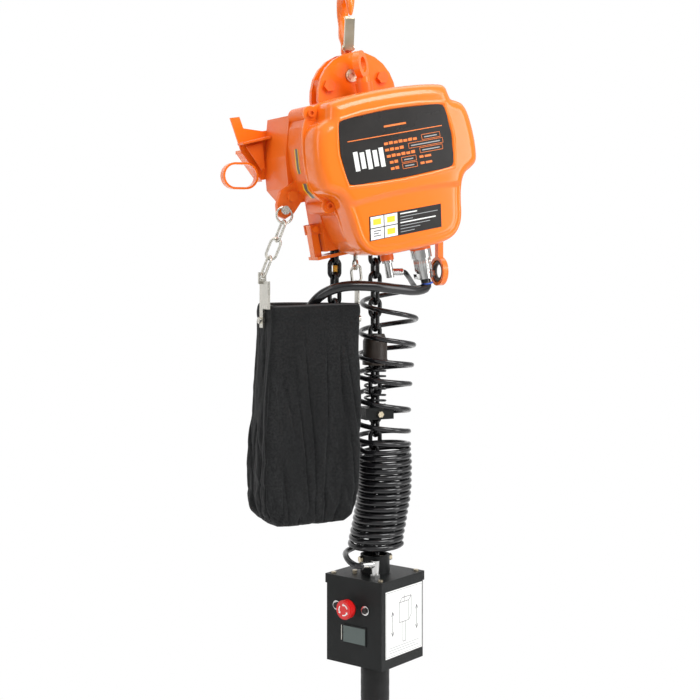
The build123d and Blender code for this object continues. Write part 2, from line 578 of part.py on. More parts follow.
BOX_ELBOW = (30.0, -32.0)           # world x, y
BOX_ARM_Z = BOX_TOP + 18.5
box_elbow_x, box_elbow_y = BOX_ELBOW
elbow = (cyl_z(*BOX_ELBOW, 3.9, BOX_TOP - 6, BOX_TOP) + hex_z(*BOX_ELBOW, 13, BOX_TOP, BOX_TOP + 5)
         + cyl_z(*BOX_ELBOW, 5.6, BOX_TOP + 5, BOX_TOP + 24))
elbow += cyl_x(box_elbow_y, BOX_ARM_Z, ARM_R, box_elbow_x - 20, box_elbow_x)
elbow -= cyl_x(box_elbow_y, BOX_ARM_Z, ARM_BORE_R, box_elbow_x - 21, box_elbow_x - 9)
save("elbow_connector_box", elbow)

# the coiled cable is one hollow sleeve: upright below, leaning to the right above
COIL_R = 38.0
COIL_TOP_X = LOAD_X + 19.0
COIL_TOP, COIL_MID, COIL_BOTTOM = -424.0, -636.0, -784.0


def coil_core(radius):
    lower = cyl_z(LOAD_X, 0, radius, COIL_BOTTOM, COIL_MID)
    upper = loft([Plane(origin=(LOAD_X, 0, COIL_MID)) * Circle(radius),
                  Plane(origin=(COIL_TOP_X, 0, COIL_TOP)) * Circle(radius)])
    return lower + upper


TOP_LEAD = [(arm_x + 20.3, arm_y, arm_z), (arm_x + 26, arm_y + 3, arm_z - 0.5),
            (80, -21, arm_z - 6), (96, -7, arm_z - 16), (COIL_TOP_X + COIL_R, 0, COIL_TOP + 5.0)]
BOX_LEAD = [(box_elbow_x - 20.3, box_elbow_y, BOX_ARM_Z),
            (box_elbow_x - 31, box_elbow_y + 5, BOX_TOP + 18.6),
            (LOAD_X - 47, -8, BOX_TOP + 20.5), (LOAD_X - 41, 10, BOX_TOP + 24.5),
            (LOAD_X - 33, 20, BOX_TOP + 28.6)]
save("coil_cable", coil_core(COIL_R + CABLE_R) - coil_core(COIL_R - CABLE_R),
     cable(TOP_LEAD, CABLE_R), cable(BOX_LEAD, CABLE_R))

# ================================================================= load strand
save("load_chain", *hanging_chain(LOAD_LINKS, LOAD_X, 90))
save("slack_chain", *hanging_chain(SLACK_LINKS, SLACK_X, 0))

bumper = cyl_z(LOAD_X, 0, 17.5, -514, -486)
bumper += Pos(LOAD_X, 0, -486) * Cone(
    17.5, 13.5, 10, align=(Align.CENTER, Align.CENTER, Align.MIN))
bumper += cyl_z(LOAD_X, 0, 18.2, -520, -512)
bumper -= cyl_z(LOAD_X, 0, 11.4, -600, -400)
save("rubber_bumper", bumper)

# the bumper spring is a plain sleeve
save("bumper_spring", cyl_z(LOAD_X, 0, 16.3, -578.6, -522.8)
     - cyl_z(LOAD_X, 0, 13.3, -579.6, -521.8))

# stop block: its bolt crosses the Y-open link nearest the block's middle
CHAIN_BOLT_R, CHAIN_BOLT_HOLE_R = 2.5, 2.55
STOP_MIDDLE_Z = -589
stop_z = min([LAST_LINK_Z + k * CHAIN_STEP for k in range(1, LOAD_LINKS, 2)],
             key=lambda z: abs(z - STOP_MIDDLE_Z))
block = box(LOAD_X - 22, LOAD_X + 22, -16, 16, -597, -580.4)
block -= cyl_z(LOAD_X, 0, 11.2, -600, -570)
block -= cyl_y(LOAD_X, stop_z, CHAIN_BOLT_HOLE_R, -30, 30)
save("stop_block", block)

collar = cyl_z(LOAD_X, 0, 21.0, BOX_TOP, BOX_TOP + 26)
collar -= cyl_z(LOAD_X, 0, 17.4, BOX_TOP + 3, BOX_TOP + 30)
collar -= cyl_x(0, LAST_LINK_Z, CHAIN_BOLT_HOLE_R, LOAD_X - 30, LOAD_X + 30)
save("collar", collar)

stop_bolt = (cyl_y(LOAD_X, stop_z, CHAIN_BOLT_R, -16, 20.5)
             + hex_y(LOAD_X, stop_z, 8.0, -20.0, -16.0) + hex_y(LOAD_X, stop_z, 8.0, 16.0, 20.0))
collar_bolt = cyl_x(0, LAST_LINK_Z, CHAIN_BOLT_R, LOAD_X - 21, LOAD_X + 24.5)
for offset, length in ((21, 4.5), (-25, 4.0)):
    hexagon = extrude(RegularPolygon(5.0, 6), length)
    collar_bolt += Pos(LOAD_X + offset, 0, LAST_LINK_Z) * Rot(0, 90, 0) * hexagon
save("chain_bolts", stop_bolt, collar_bolt)

# ================================================================= control box (box frame)
HALF = BOX_SIZE / 2
FACE = -HALF                        # panel face, local x
LID_HALF = HALF + 1.6
TUBE_R, TUBE_HOLE_R = 12.5, 12.6
ESTOP_Y, BUTTON_ROW_Z = 4.0, -859.0
BUTTONS = {"button_up": 29.0, "button_down": -22.0}     # local y
BUTTON_HOLE_R = 4.2
DISPLAY = (-22.5, 19.5, -910.0, -884.0)                 # y0, y1, z0, z1


def display_block(x0, x1, border):
    y0, y1, z0, z1 = DISPLAY
    return box(x0, x1, y0 + border, y1 - border, z0 + border, z1 - border)


shell = box(-HALF, HALF, -HALF, HALF, BOX_BOTTOM, BOX_TOP - 2.6)
shell -= box(-HALF + 2, HALF - 2, -HALF + 2, HALF - 2, BOX_BOTTOM + 2, BOX_TOP)
shell -= cyl_z(0, 0, TUBE_HOLE_R, BOX_BOTTOM - 1, BOX_TOP)
shell -= cyl_x(ESTOP_Y, BUTTON_ROW_Z, 6.4, FACE - 1, FACE + 3)
for button_y in BUTTONS.values():
    shell -= cyl_x(button_y, BUTTON_ROW_Z, BUTTON_HOLE_R, FACE - 1, FACE + 3)
shell -= display_block(FACE - 1, FACE + 3, 2)
save("control_box", in_box(shell))

# the elbow hole is the elbow's world place turned into the box frame
turn_cos, turn_sin = math.cos(math.radians(-BOX_TURN)), math.sin(math.radians(-BOX_TURN))
elbow_dx = box_elbow_x - LOAD_X
elbow_hole = (elbow_dx * turn_cos - box_elbow_y * turn_sin,
              elbow_dx * turn_sin + box_elbow_y * turn_cos)
LID_SCREWS = [(-42, -42), (42, -42), (-42, 42), (42, 42)]
LID_INSIDE = HALF + 0.15
lid = box(-LID_HALF, LID_HALF, -LID_HALF, LID_HALF, BOX_TOP - 13, BOX_TOP)
lid -= box(-LID_INSIDE, LID_INSIDE, -LID_INSIDE, LID_INSIDE, BOX_TOP - 14, BOX_TOP - 2.5)
lid -= cyl_z(0, 0, TUBE_HOLE_R, BOX_TOP - 20, BOX_TOP + 1)
lid -= cyl_z(*elbow_hole, 4.0, BOX_TOP - 5, BOX_TOP + 1)
for screw in LID_SCREWS:
    lid -= cyl_z(*screw, 2.0, BOX_TOP - 5, BOX_TOP + 1)
save("box_lid", in_box(lid))

# four screws and one small stud standing on the lid
save("lid_screws", *[
    in_box(cyl_z(*screw, 1.95, BOX_TOP - 8, BOX_TOP) + cyl_z(*screw, 3.6, BOX_TOP, BOX_TOP + 2.2))
    for screw in LID_SCREWS], in_box(cyl_z(-24, 18, 3.4, BOX_TOP, BOX_TOP + 4.5)))

display_frame = display_block(FACE - 1.6, FACE, 0) - display_block(FACE - 2.6, FACE + 1, 3)
save("display", in_box(display_frame), in_box(display_block(FACE - 0.6, FACE, 3)))
save("instruction_plate", in_box(box(-40, 46.5, -HALF - 0.5, -HALF, -925.5, -832)))


def on_row(y, radius, x0, x1):
    """Cylinder on the button row; x0 and x1 count from the panel face, minus is outwards."""
    return cyl_x(y, BUTTON_ROW_Z, radius, FACE + x0, FACE + x1)


save("estop_button", in_box(on_row(ESTOP_Y, 13.5, -17.5, -9.0) + on_row(ESTOP_Y, 12.0, -19.0, -17.5)
                            + on_row(ESTOP_Y, 6.24, -9, 12)))
rings = [in_box(on_row(ESTOP_Y, 11.0, -4, 0) - on_row(ESTOP_Y, 6.3, -5, 1))]
for name, button_y in BUTTONS.items():
    rings.append(in_box(on_row(button_y, 6.6, -3.0, 0) - on_row(button_y, 4.9, -4, -1.2)
                        - on_row(button_y, BUTTON_HOLE_R, -4, 1)))
    save(name, in_box(on_row(button_y, 4.12, -5.2, 8)))
save("panel_rings", *rings)

# ================================================================= load tube and grip
save("load_sensor", in_box(cyl_z(0, 0, 22.0, -905, -880) - cyl_z(0, 0, 12.55, -906, -879)))

grip = cyl_z(LOAD_X, 0, GRIP_D / 2, GRIP_BOTTOM, GRIP_TOP)
grip += cyl_z(LOAD_X, 0, 23.5, GRIP_BOTTOM, GRIP_BOTTOM + 5)
grip -= cyl_z(LOAD_X, 0, 12.58, GRIP_BOTTOM - 1, GRIP_TOP + 1)
save("handle_grip", grip)

# tube through the box and grip, closed by an end cap bored for the hook shank
TUBE_BORE_R = 9.5
TUBE_BOTTOM, PLUG_TOP = -1112, -1105
shank_bore = cyl_z(LOAD_X, 0, SHANK_BORE_R, -1130, -1100)
tube = cyl_z(LOAD_X, 0, TUBE_R, TUBE_BOTTOM, BOX_TOP)
tube -= cyl_z(LOAD_X, 0, TUBE_BORE_R, TUBE_BOTTOM - 1, BOX_TOP - 8)
tube_cap = (cyl_z(LOAD_X, 0, 16.0, -1122, TUBE_BOTTOM)
            + cyl_z(LOAD_X, 0, 9.46, TUBE_BOTTOM, PLUG_TOP) - shank_bore)
plug = cyl_z(LOAD_X, 0, TUBE_BORE_R, TUBE_BOTTOM, PLUG_TOP) - shank_bore
save("load_tube", tube + tube_cap + plug)

# ================================================================= load hook
LOAD_NUT_TOP = -1097.4
load_hook = in_load_hook(lofted_hook())
load_hook = load_hook + in_load_hook(latch_ear(-LATCH_DROP - 5.5, -LATCH_DROP + 5.5))
load_hook += cyl_z(LOAD_X, 0, SHANK_R, -1128.0, LOAD_NUT_TOP)
load_hook -= in_load_hook(latch_cyl(LATCH_HOLE_R, -20, 20, z=-LATCH_DROP))
save("load_hook", load_hook + hex_z(LOAD_X, 0, HOOK_NUT_WIDTH, -1104.8, LOAD_NUT_TOP))
save("load_hook_latch", in_load_hook(Pos(0, 0, -BOWL_Z) * pinned_latch))

# ================================================================= chain bag
# plan extents: x0, x1, y0, y1
BAG_MOUTH = (-129, 2, -44, 20)
BAG_BASE = (-143, -2, -48, 30)
BAG_TOP, BAG_MID, BAG_LOW, BAG_BOTTOM = -432, -600, -712, -732
BAG_WALL = 3.0


def bag_section(blend, margin, z):
    """Rounded section, blend 0 at the mouth to 1 at the base, shrunk by margin."""
    x0, x1, y0, y1 = [(1 - blend) * a + blend * b for a, b in zip(BAG_MOUTH, BAG_BASE)]
    width, depth = x1 - x0 - 2 * margin, y1 - y0 - 2 * margin
    corner = max(3.0, 12 - margin)
    plane = Plane(origin=((x0 + x1) / 2, (y0 + y1) / 2, z))
    return plane * RectangleRounded(width, depth, corner)


def bag_sides(margin, top):
    return loft([bag_section(0, margin, top), bag_section(0.55, margin, BAG_MID),
                 bag_section(1, margin, BAG_LOW)])


bag = bag_sides(0, BAG_TOP) + loft([bag_section(1, 0, BAG_LOW), bag_section(1, 12, BAG_BOTTOM)])
bag -= bag_sides(BAG_WALL, BAG_TOP + 0.1)
bag -= loft([bag_section(1, BAG_WALL, BAG_LOW - 0.01), bag_section(1, 14, BAG_BOTTOM + 4)])
save("chain_bag", bag)

RIM_MARGIN = 5.4                    # bag outside to the rim's centre line


def rim_block(grow, corner, z, height):
    x0, x1, y0, y1 = BAG_MOUTH
    section = RectangleRounded(x1 - x0 - 2 * RIM_MARGIN + grow, y1 - y0 - 2 * RIM_MARGIN + grow,
                               corner)
    return Pos((x0 + x1) / 2, (y0 + y1) / 2, z) * extrude(section, height)


save("bag_rim", rim_block(4.0, 8.0, -443, 4.0) - rim_block(-4.0, 5.0, -444, 6.0))

# hanger clips bolted through the left and right sides of the bag
CLIP_BOLT_Z = -452
left_clip = (box(-135.0, -131.6, -19, -7, -462, -398) + box(-135.0, -131.6, -38, -7, -436, -398)
             + box(-139.0, -128.0, -14.7, -11.3, -402, -386))
left_clip -= cyl_y(-133.3, -391.6, 3.4, -20, 0) + cyl_x(-13, CLIP_BOLT_Z, 2.6, -140, -120)
right_clip = box(5.6, 7.8, -27, -15, -462, -398)
right_clip -= cyl_x(-21, -403.4, 4.0, 0, 20) + cyl_x(-21, CLIP_BOLT_Z, 2.6, 0, 20)
left_bolt = (cyl_x(-13, CLIP_BOLT_Z, 2.5, -135.0, -130.6)
             + cyl_x(-13, CLIP_BOLT_Z, 4.6, -139, -135.0))
right_bolt = cyl_x(-21, CLIP_BOLT_Z, 2.5, 2.6, 7.8) + cyl_x(-21, CLIP_BOLT_Z, 4.6, 7.8, 11.4)
save("bag_clips", left_clip, right_clip, left_bolt, right_bolt)

# lug pin in the casing ear, and an eye hanging under the casing
lug_pin = (cyl_y(*LUG_PIN, 2.95, -38, -15) + cyl_y(*LUG_PIN, 6.0, -40, -38)
           + cyl_y(*LUG_PIN, 5.0, -21, -17))
bag_eye = cyl_x(-36.0, -375.8, 7.9, -4.2, -1.8) + box(-4.2, -1.8, -40, -32, -372, -356)
bag_eye -= cyl_x(-36.0, -375.8, 5.3, -20, 20)
bag_eye -= body(prism_y(CASE_OUTLINE, COVER_BACK, CASE_BACK))
save("bag_lugs", body(lug_pin), bag_eye)

BAG_WIRE, BAG_PITCH, BAG_LINK_WIDTH = 3.7, 26.5, 18.5


def bag_chain(count, top, bottom, first_turn):
    """Links from the outer end of the first one at top, aimed at bottom."""
    base = link(BAG_WIRE, BAG_PITCH, BAG_LINK_WIDTH)
    start = Vector(*top)
    aim = (Vector(*bottom) - start).normalized()
    plane = Plane(origin=(0, 0, 0), z_dir=(aim.X, aim.Y, aim.Z), x_dir=(aim.Z, 0, -aim.X))
    links = []
    for i in range(count):
        centre = start + aim * ((BAG_PITCH + BAG_WIRE) / 2 + i * (BAG_PITCH - 0.1))
        turned = Rot(0, 0, first_turn + 90 * (i % 2)) * base
        links.append(Pos(centre.X, centre.Y, centre.Z) * (plane * turned))
    return links


# left: ring on the lug pin, then three links to the clip; right: one link
lug_x, lug_y, lug_z = body_to_world(LUG_PIN[0], -34.0, LUG_PIN[1])
bag_ring = Pos(lug_x, lug_y, lug_z - 6.75) * (Rot(90, 0, 0) * Torus(11.4, 1.6))
save("bag_chains", bag_ring,
     *bag_chain(3, (lug_x, lug_y, lug_z - 14.5), (-133.3, -13.0, -392.2), 90),
     *bag_chain(1, (-3.0, -36.0, -378.0), (6.7, -21.0, -403.2), 0))
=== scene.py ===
# Chain hoist: an orange body tilted on its suspension pin, with a cloth chain bag under it on
# the left and, on the load chain, a control box and grip fed by a coiled cable.
# World: +Z up, +X right, front faces -Y. Shapes are in mm; meshes are stored in metres.
import bpy
import math
import numpy as np
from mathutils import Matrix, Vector, noise

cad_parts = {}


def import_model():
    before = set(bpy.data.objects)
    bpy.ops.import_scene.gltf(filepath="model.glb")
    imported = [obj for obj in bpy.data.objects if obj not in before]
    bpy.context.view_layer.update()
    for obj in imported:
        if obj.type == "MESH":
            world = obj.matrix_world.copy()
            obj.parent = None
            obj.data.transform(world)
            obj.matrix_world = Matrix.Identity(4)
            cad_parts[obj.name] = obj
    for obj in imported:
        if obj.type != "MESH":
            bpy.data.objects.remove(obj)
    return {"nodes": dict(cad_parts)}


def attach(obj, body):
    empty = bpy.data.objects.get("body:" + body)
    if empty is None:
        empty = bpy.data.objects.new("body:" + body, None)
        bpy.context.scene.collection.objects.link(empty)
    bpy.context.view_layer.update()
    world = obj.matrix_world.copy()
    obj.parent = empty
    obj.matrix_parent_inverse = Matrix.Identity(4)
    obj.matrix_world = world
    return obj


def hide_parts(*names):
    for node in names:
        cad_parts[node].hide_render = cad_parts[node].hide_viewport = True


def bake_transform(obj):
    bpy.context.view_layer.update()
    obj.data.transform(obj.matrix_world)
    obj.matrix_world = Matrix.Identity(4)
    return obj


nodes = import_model()["nodes"]
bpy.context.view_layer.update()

PIN_Z = -110.0                    # height of the point the body tilts about
TILT = math.radians(10.8)
LOAD_X, SLACK_X = 45.1, -18.7     # the two chain strands
BOX_TURN = math.radians(26.5)     # control box turned about the load strand
rng = np.random.default_rng(7)


# ---------------------------------------------------------------- frames
def from_world(x, y, z):
    return (x, y, z)


def from_body(x, y, z):
    """tilted body frame to world"""
    cos, sin = math.cos(TILT), math.sin(TILT)
    return (x * cos - z * sin, y, PIN_Z + x * sin + z * cos)


def from_box(x, y, z):
    """turned control-box frame to world"""
    cos, sin = math.cos(BOX_TURN), math.sin(BOX_TURN)
    return (LOAD_X + x * cos - y * sin, x * sin + y * cos, z)


def from_box_left(x, y, z):
    """left face of the box: x runs along the face, -y points out of it"""
    return from_box(y, -x, z)


# ---------------------------------------------------------------- curves
def smoothstep(low, high, x):
    t = np.clip((x - low) / (high - low), 0, 1)
    return t * t * (3 - 2 * t)


def lookup(table, value):
    """interpolate in (position, value) rows of rising position"""
    return float(np.interp(value, *zip(*table)))


def angles(count):
    return np.linspace(0, 2 * math.pi, count + 1)[:-1]


def spline_point(p0, p1, p2, p3, t):
    """Catmull-Rom point between p1 and p2"""
    return 0.5 * (2 * p1 + (p2 - p0) * t + (2 * p0 - 5 * p1 + 4 * p2 - p3) * t * t
                  + (3 * p1 - p0 - 3 * p2 + p3) * t ** 3)


def smooth_path(points, step):
    """open curve through the points, resampled about every step"""
    P = [np.array(p, float) for p in points]
    P = [2 * P[0] - P[1]] + P + [2 * P[-1] - P[-2]]
    path = []
    for i in range(1, len(P) - 2):
        count = max(2, int(np.linalg.norm(P[i + 1] - P[i]) / step))
        path += [spline_point(*P[i - 1:i + 3], j / count) for j in range(count)]
    return path + [P[-2]]


def smooth_outline(points, steps):
    """closed curve through the points, each span cut into steps"""
    P = np.array(points, float)
    count = len(P)
    return [tuple(spline_point(P[i - 1], P[i], P[(i + 1) % count], P[(i + 2) % count], j / steps))
            for i in range(count) for j in range(steps)]


def outline_distance(outline, X, Z):
    """signed distance to a closed outline, positive inside"""
    P = np.array(outline, float)
    nearest = np.full(X.shape, 1e9)
    inside = np.zeros(X.shape, bool)
    for (ax, az), (bx, bz) in zip(P, np.roll(P, -1, axis=0)):
        dx, dz = bx - ax, bz - az
        t = np.clip(((X - ax) * dx + (Z - az) * dz) / (dx * dx + dz * dz + 1e-12), 0, 1)
        nearest = np.minimum(nearest, np.hypot(X - ax - t * dx, Z - az - t * dz))
        crossing = ax + (Z - az) / (bz - az + 1e-12) * (bx - ax)
        inside ^= ((az > Z) != (bz > Z)) & (X < crossing)
    return np.where(inside, nearest, -nearest)


# ---------------------------------------------------------------- mesh builders
def add_object(name, mesh):
    obj = bpy.data.objects.new(name, mesh)
    bpy.context.scene.collection.objects.link(obj)
    return obj


def make_mesh(name, verts, faces, material, smooth=True, frame=from_world):
    mesh = bpy.data.meshes.new(name)
    placed = [frame(*v) for v in verts]
    mesh.from_pydata([(x / 1000.0, y / 1000.0, z / 1000.0) for x, y, z in placed], [], faces)
    mesh.validate()
    if smooth:
        mesh.polygons.foreach_set("use_smooth", [True] * len(mesh.polygons))
    mesh.update()
    mesh.materials.append(material)
    return add_object(name, mesh)


def ring_quads(first, second, sides):
    """quads between two vertex rings that start at first and second"""
    return [(first + j, first + (j + 1) % sides, second + (j + 1) % sides, second + j)
            for j in range(sides)]


def strip_quads(count):
    """quads along a strip of count vertex pairs"""
    return [(2 * i, 2 * i + 1, 2 * i + 3, 2 * i + 2) for i in range(count - 1)]


def tube(name, path, radius, material, sides=14, closed=False, taper=None):
    """round section carried along the path by parallel transport"""
    path = [np.array(p, float) for p in path]
    count = len(path)
    verts, faces = [], []
    up = None
    for i, point in enumerate(path):
        before = path[i - 1] if closed or i > 0 else point
        after = path[(i + 1) % count] if closed or i < count - 1 else point
        tangent = (after - before) / (np.linalg.norm(after - before) + 1e-9)
        if up is None:
            up = np.cross(tangent, [0.0, 0.0, 1.0])
            if np.linalg.norm(up) < 0.1:
                up = np.cross(tangent, [1.0, 0.0, 0.0])
        up = up - tangent * np.dot(up, tangent)
        up /= np.linalg.norm(up)
        side = np.cross(tangent, up)
        local = taper(i / (count - 1)) * radius if taper else radius
        for j in range(sides):
            a = 2 * math.pi * j / sides
            verts.append(tuple(point + (up * math.cos(a) + side * math.sin(a)) * local))
    for i in range(count if closed else count - 1):
        faces += ring_quads(i * sides, (i + 1) % count * sides, sides)
    if not closed:
        faces.append(tuple(range(sides - 1, -1, -1)))
        faces.append(tuple((count - 1) * sides + j for j in range(sides)))
    return make_mesh(name, verts, faces, material)


def flat_plate(frame, outline, y, thickness, material):
    """thin plate: (x, z) outline at y, thickened towards -y"""
    count = len(outline)
    verts = [(x, level, z) for level in (y, y - thickness) for x, z in outline]
    faces = [tuple(range(count)), tuple(range(2 * count - 1, count - 1, -1))]
    faces += ring_quads(0, count, count)
    return make_mesh("plate_part", verts, faces, material, smooth=False, frame=frame)


def stepped_plate(outline, centre, levels, shrink, material):
    """plate on the body: rings at three y levels, the last shrunk about the centre"""
    cx, cz = centre
    count = len(outline)
    verts = [(x, y, z) for y in levels[:2] for x, z in outline]
    verts += [((x - cx) * shrink + cx, levels[2], (z - cz) * shrink + cz) for x, z in outline]
    faces = ring_quads(0, count, count) + ring_quads(count, 2 * count, count)
    faces.append(tuple(range(2 * count, 3 * count)))
    return make_mesh("stepped_part", verts, faces, material, smooth=False, frame=from_body)


def rect(x0, x1, z0, z1):
    return [(x0, z0), (x1, z0), (x1, z1), (x0, z1)]


def join(name, parts):
    """merge parts into one mesh, one material slot per material"""
    materials, verts, faces, looks = [], [], [], []
    for part in parts:
        base = len(verts)
        material = part.data.materials[0]
        if material not in materials:
            materials.append(material)
        verts += [tuple(v.co) for v in part.data.vertices]
        for face in part.data.polygons:
            faces.append(tuple(base + i for i in face.vertices))
            looks.append((materials.index(material), face.use_smooth))
    mesh = bpy.data.meshes.new(name)
    mesh.from_pydata(verts, [], faces)
    for material in materials:
        mesh.materials.append(material)
    for face, (slot, smooth) in zip(mesh.polygons, looks):
        face.material_index = slot
        face.use_smooth = smooth
    mesh.update()
    obj = add_object(name, mesh)
    for part in parts:
        bpy.data.objects.remove(part, do_unlink=True)
    return obj


# ---------------------------------------------------------------- materials
def set_inputs(tree, node, inputs):
    """link the inputs given as sockets, set the rest as values"""
    for key, value in inputs.items():
        if isinstance(value, bpy.types.NodeSocket):
            tree.links.new(value, node.inputs[key])
        else:
            node.inputs[key].default_value = value


def add_node(tree, kind, inputs=None, **properties):
    node = tree.nodes.new("ShaderNode" + kind)
    for key, value in properties.items():
        setattr(node, key, value)
    set_inputs(tree, node, inputs or {})
    return node


def add_noise(tree, vector, scale, detail):
    inputs = {"Vector": vector, "Scale": scale, "Detail": detail}
    return add_node(tree, "TexNoise", inputs).outputs["Fac"]


def new_material(name):
    material = bpy.data.materials.new(name)
    material.use_nodes = True
    tree = material.node_tree
    return material, tree, tree.nodes["Principled BSDF"]


def surface(name, color, rough, metal=0.0, coat=0.0, drift=0.06, scale=60.0, bump=0.02,
            bump_scale=400.0, spec=0.5, second=None, rough_spread=0.12):
    """colour drift towards second, roughness mottling and a fine bump"""
    material, tree, shader = new_material(name)
    coord = add_node(tree, "TexCoord").outputs["Object"]
    place = add_node(tree, "Mapping", {"Vector": coord}).outputs["Vector"]
    dark = [max(0.0, c * (1 - drift)) for c in color]
    light = second or [min(1.0, c * (1 + drift) + drift * 0.02) for c in color]
    tint = add_node(tree, "Mix", {
        "A": [*dark, 1.0],
        "B": [*light, 1.0],
        "Factor": add_noise(tree, place, scale=scale, detail=6.0),
    }, data_type="RGBA")
    mottle = add_node(tree, "MapRange", {
        "Value": add_noise(tree, place, scale=scale * 0.35, detail=8.0),
        "To Min": max(0.02, rough - rough_spread),
        "To Max": min(1.0, rough + rough_spread),
    })
    grain = add_node(tree, "Bump", {
        "Height": add_noise(tree, place, scale=bump_scale, detail=3.0),
        "Strength": min(1.0, bump * 10),
        "Distance": 0.0004,
    })
    set_inputs(tree, shader, {
        "Base Color": tint.outputs["Result"],
        "Roughness": mottle.outputs["Result"],
        "Normal": grain.outputs["Normal"],
        "Metallic": metal,
        "Coat Weight": coat,
        "Coat Roughness": 0.06,
        "Specular IOR Level": spec,
    })
    return material


def fabric(name, color):
    """woven cloth: crossed fine waves for the weave, broad vertical noise for painted fold
    shading (lighter streaks) that also bumps the folds
    """
    material, tree, shader = new_material(name)
    coord = add_node(tree, "TexCoord").outputs["Object"]
    threads = [add_node(tree, "TexWave", {"Vector": coord, "Scale": scale, "Distortion": 0.6},
                        wave_type="BANDS", bands_direction=direction).outputs["Fac"]
               for direction, scale in (("Z", 330.0), ("DIAGONAL", 260.0))]
    weave = add_node(tree, "Math", dict(enumerate(threads)), operation="MULTIPLY").outputs[0]
    # vertically stretched noise: painted fold light and shade as vertical streaks, also the
    # height of the broad fold bump
    tall = add_node(tree, "Mapping", {"Vector": coord, "Scale": (1.0, 1.0, 0.22)})
    fold_shade_relief = add_noise(tree, tall.outputs["Vector"], scale=30.0, detail=7.0)
    # fine weave specks, stretched in contrast and lightening the cloth only along the painted
    # fold-shading streaks
    specks = add_noise(tree, coord, scale=380.0, detail=2.0)
    contrast = add_node(tree, "Math", {0: specks, 1: 1.6, 2: -0.55}, operation="MULTIPLY_ADD")
    specks_in_fold_shade = add_node(tree, "Math", {0: contrast.outputs[0], 1: fold_shade_relief},
                      operation="MULTIPLY", use_clamp=True)
    # lighter cloth colour mixed in where the specks meet the painted fold light
    cloth = add_node(tree, "Mix", {
        "A": [*color, 1],
        "B": [c * 4.2 + 0.030 for c in color] + [1],
        "Factor": specks_in_fold_shade.outputs[0],
    }, data_type="RGBA")
    shade = add_node(tree, "MapRange", {"Value": weave, "To Min": 0.25})
    woven = add_node(tree, "Mix", {
        "Factor": 0.6,
        "A": cloth.outputs["Result"],
        "B": shade.outputs["Result"],
    }, data_type="RGBA", blend_type="MULTIPLY")
    fine = add_node(tree, "Bump", {"Strength": 0.55, "Distance": 0.0006, "Height": weave})
    broad = add_node(tree, "Bump", {"Strength": 0.6, "Distance": 0.006, "Height": fold_shade_relief,
                                    "Normal": fine.outputs["Normal"]})
    set_inputs(tree, shader, {
        "Base Color": woven.outputs["Result"],
        "Normal": broad.outputs["Normal"],
        "Roughness": 0.80,
        "Specular IOR Level": 0.22,
        "Sheen Weight": 0.06,
        "Sheen Roughness": 0.4,
    })
    return material


ORANGE = surface("orange_gloss", (0.93, 0.185, 0.008), rough=0.20, coat=0.45, spec=0.35,
                 drift=0.05, scale=9, bump=0.012, bump_scale=900, rough_spread=0.05)
ORANGE_CAST = surface("orange_cast", (0.84, 0.145, 0.008), rough=0.34, coat=0.2, spec=0.3,
                      drift=0.07, scale=18, bump=0.05, bump_scale=650, rough_spread=0.08)
ZINC = surface("zinc_plate", (0.62, 0.60, 0.54), rough=0.24, metal=1.0, drift=0.12, scale=120,
               bump=0.03, bump_scale=900)
YELLOW_ZINC = surface("yellow_zinc", (0.74, 0.62, 0.38), rough=0.32, metal=1.0, drift=0.12,
                      scale=90, bump=0.03, bump_scale=700, second=(0.66, 0.60, 0.52))
CHROME = surface("bright_metal", (0.66, 0.66, 0.65), rough=0.18, metal=1.0, drift=0.05,
                 scale=80, bump=0.01, rough_spread=0.06)
STEEL = surface("gear_steel", (0.50, 0.50, 0.50), rough=0.35, metal=1.0, drift=0.1, scale=100)
BLACK = surface("black_powder", (0.007, 0.008, 0.008), rough=0.40, drift=0.2, scale=30,
                bump=0.08, bump_scale=1500, rough_spread=0.07, spec=0.22)
CHAIN_BLACK = surface("black_gloss_chain", (0.006, 0.006, 0.007), rough=0.22, metal=0.2,
                      drift=0.2, bump=0.03, bump_scale=500, coat=0.25, rough_spread=0.08,
                      spec=0.4)
CABLE = surface("cable_jacket", (0.006, 0.006, 0.007), rough=0.20, drift=0.2, scale=50,
                bump_scale=500, coat=0.3, rough_spread=0.07, spec=0.4)
RUBBER = surface("rubber_brown_black", (0.030, 0.020, 0.014), rough=0.42, drift=0.3, scale=50,
                 bump=0.06, bump_scale=700)
GRIP = surface("grip_rubber", (0.007, 0.007, 0.007), rough=0.42, drift=0.3, bump=0.12,
               bump_scale=1300, spec=0.25)
PLATE_BLACK = surface("plate_black", (0.012, 0.010, 0.009), rough=0.30, drift=0.3, scale=40,
                      bump_scale=900, coat=0.05, spec=0.3)
PRINT_WHITE = surface("print_white", (0.86, 0.86, 0.84), rough=0.35, drift=0.03, bump=0.01,
                      coat=0.2)
PRINT_GREY = surface("print_grey", (0.35, 0.36, 0.37), rough=0.4, drift=0.05, bump=0.01)
PRINT_LINE = surface("print_line", (0.10, 0.10, 0.11), rough=0.4, drift=0.05, bump=0.01)
PRINT_YELLOW = surface("print_yellow", (0.90, 0.62, 0.03), rough=0.35, drift=0.05, bump=0.01)
PRINT_ORANGE = surface("print_orange", (0.86, 0.20, 0.03), rough=0.3, drift=0.05, bump=0.01)
RED = surface("red_button", (0.68, 0.012, 0.012), rough=0.25, scale=40, bump=0.01, coat=0.4)
LCD = surface("lcd_grey_green", (0.060, 0.085, 0.078), rough=0.18, drift=0.12, scale=14,
              bump=0.004, coat=0.5)
BOARD_GREEN = surface("board_green", (0.02, 0.16, 0.06), rough=0.4, drift=0.3, scale=90,
                      bump=0.05)
COPPER = surface("stator_copper", (0.45, 0.20, 0.09), rough=0.4, metal=0.9, drift=0.2,
                 scale=150, bump=0.1)
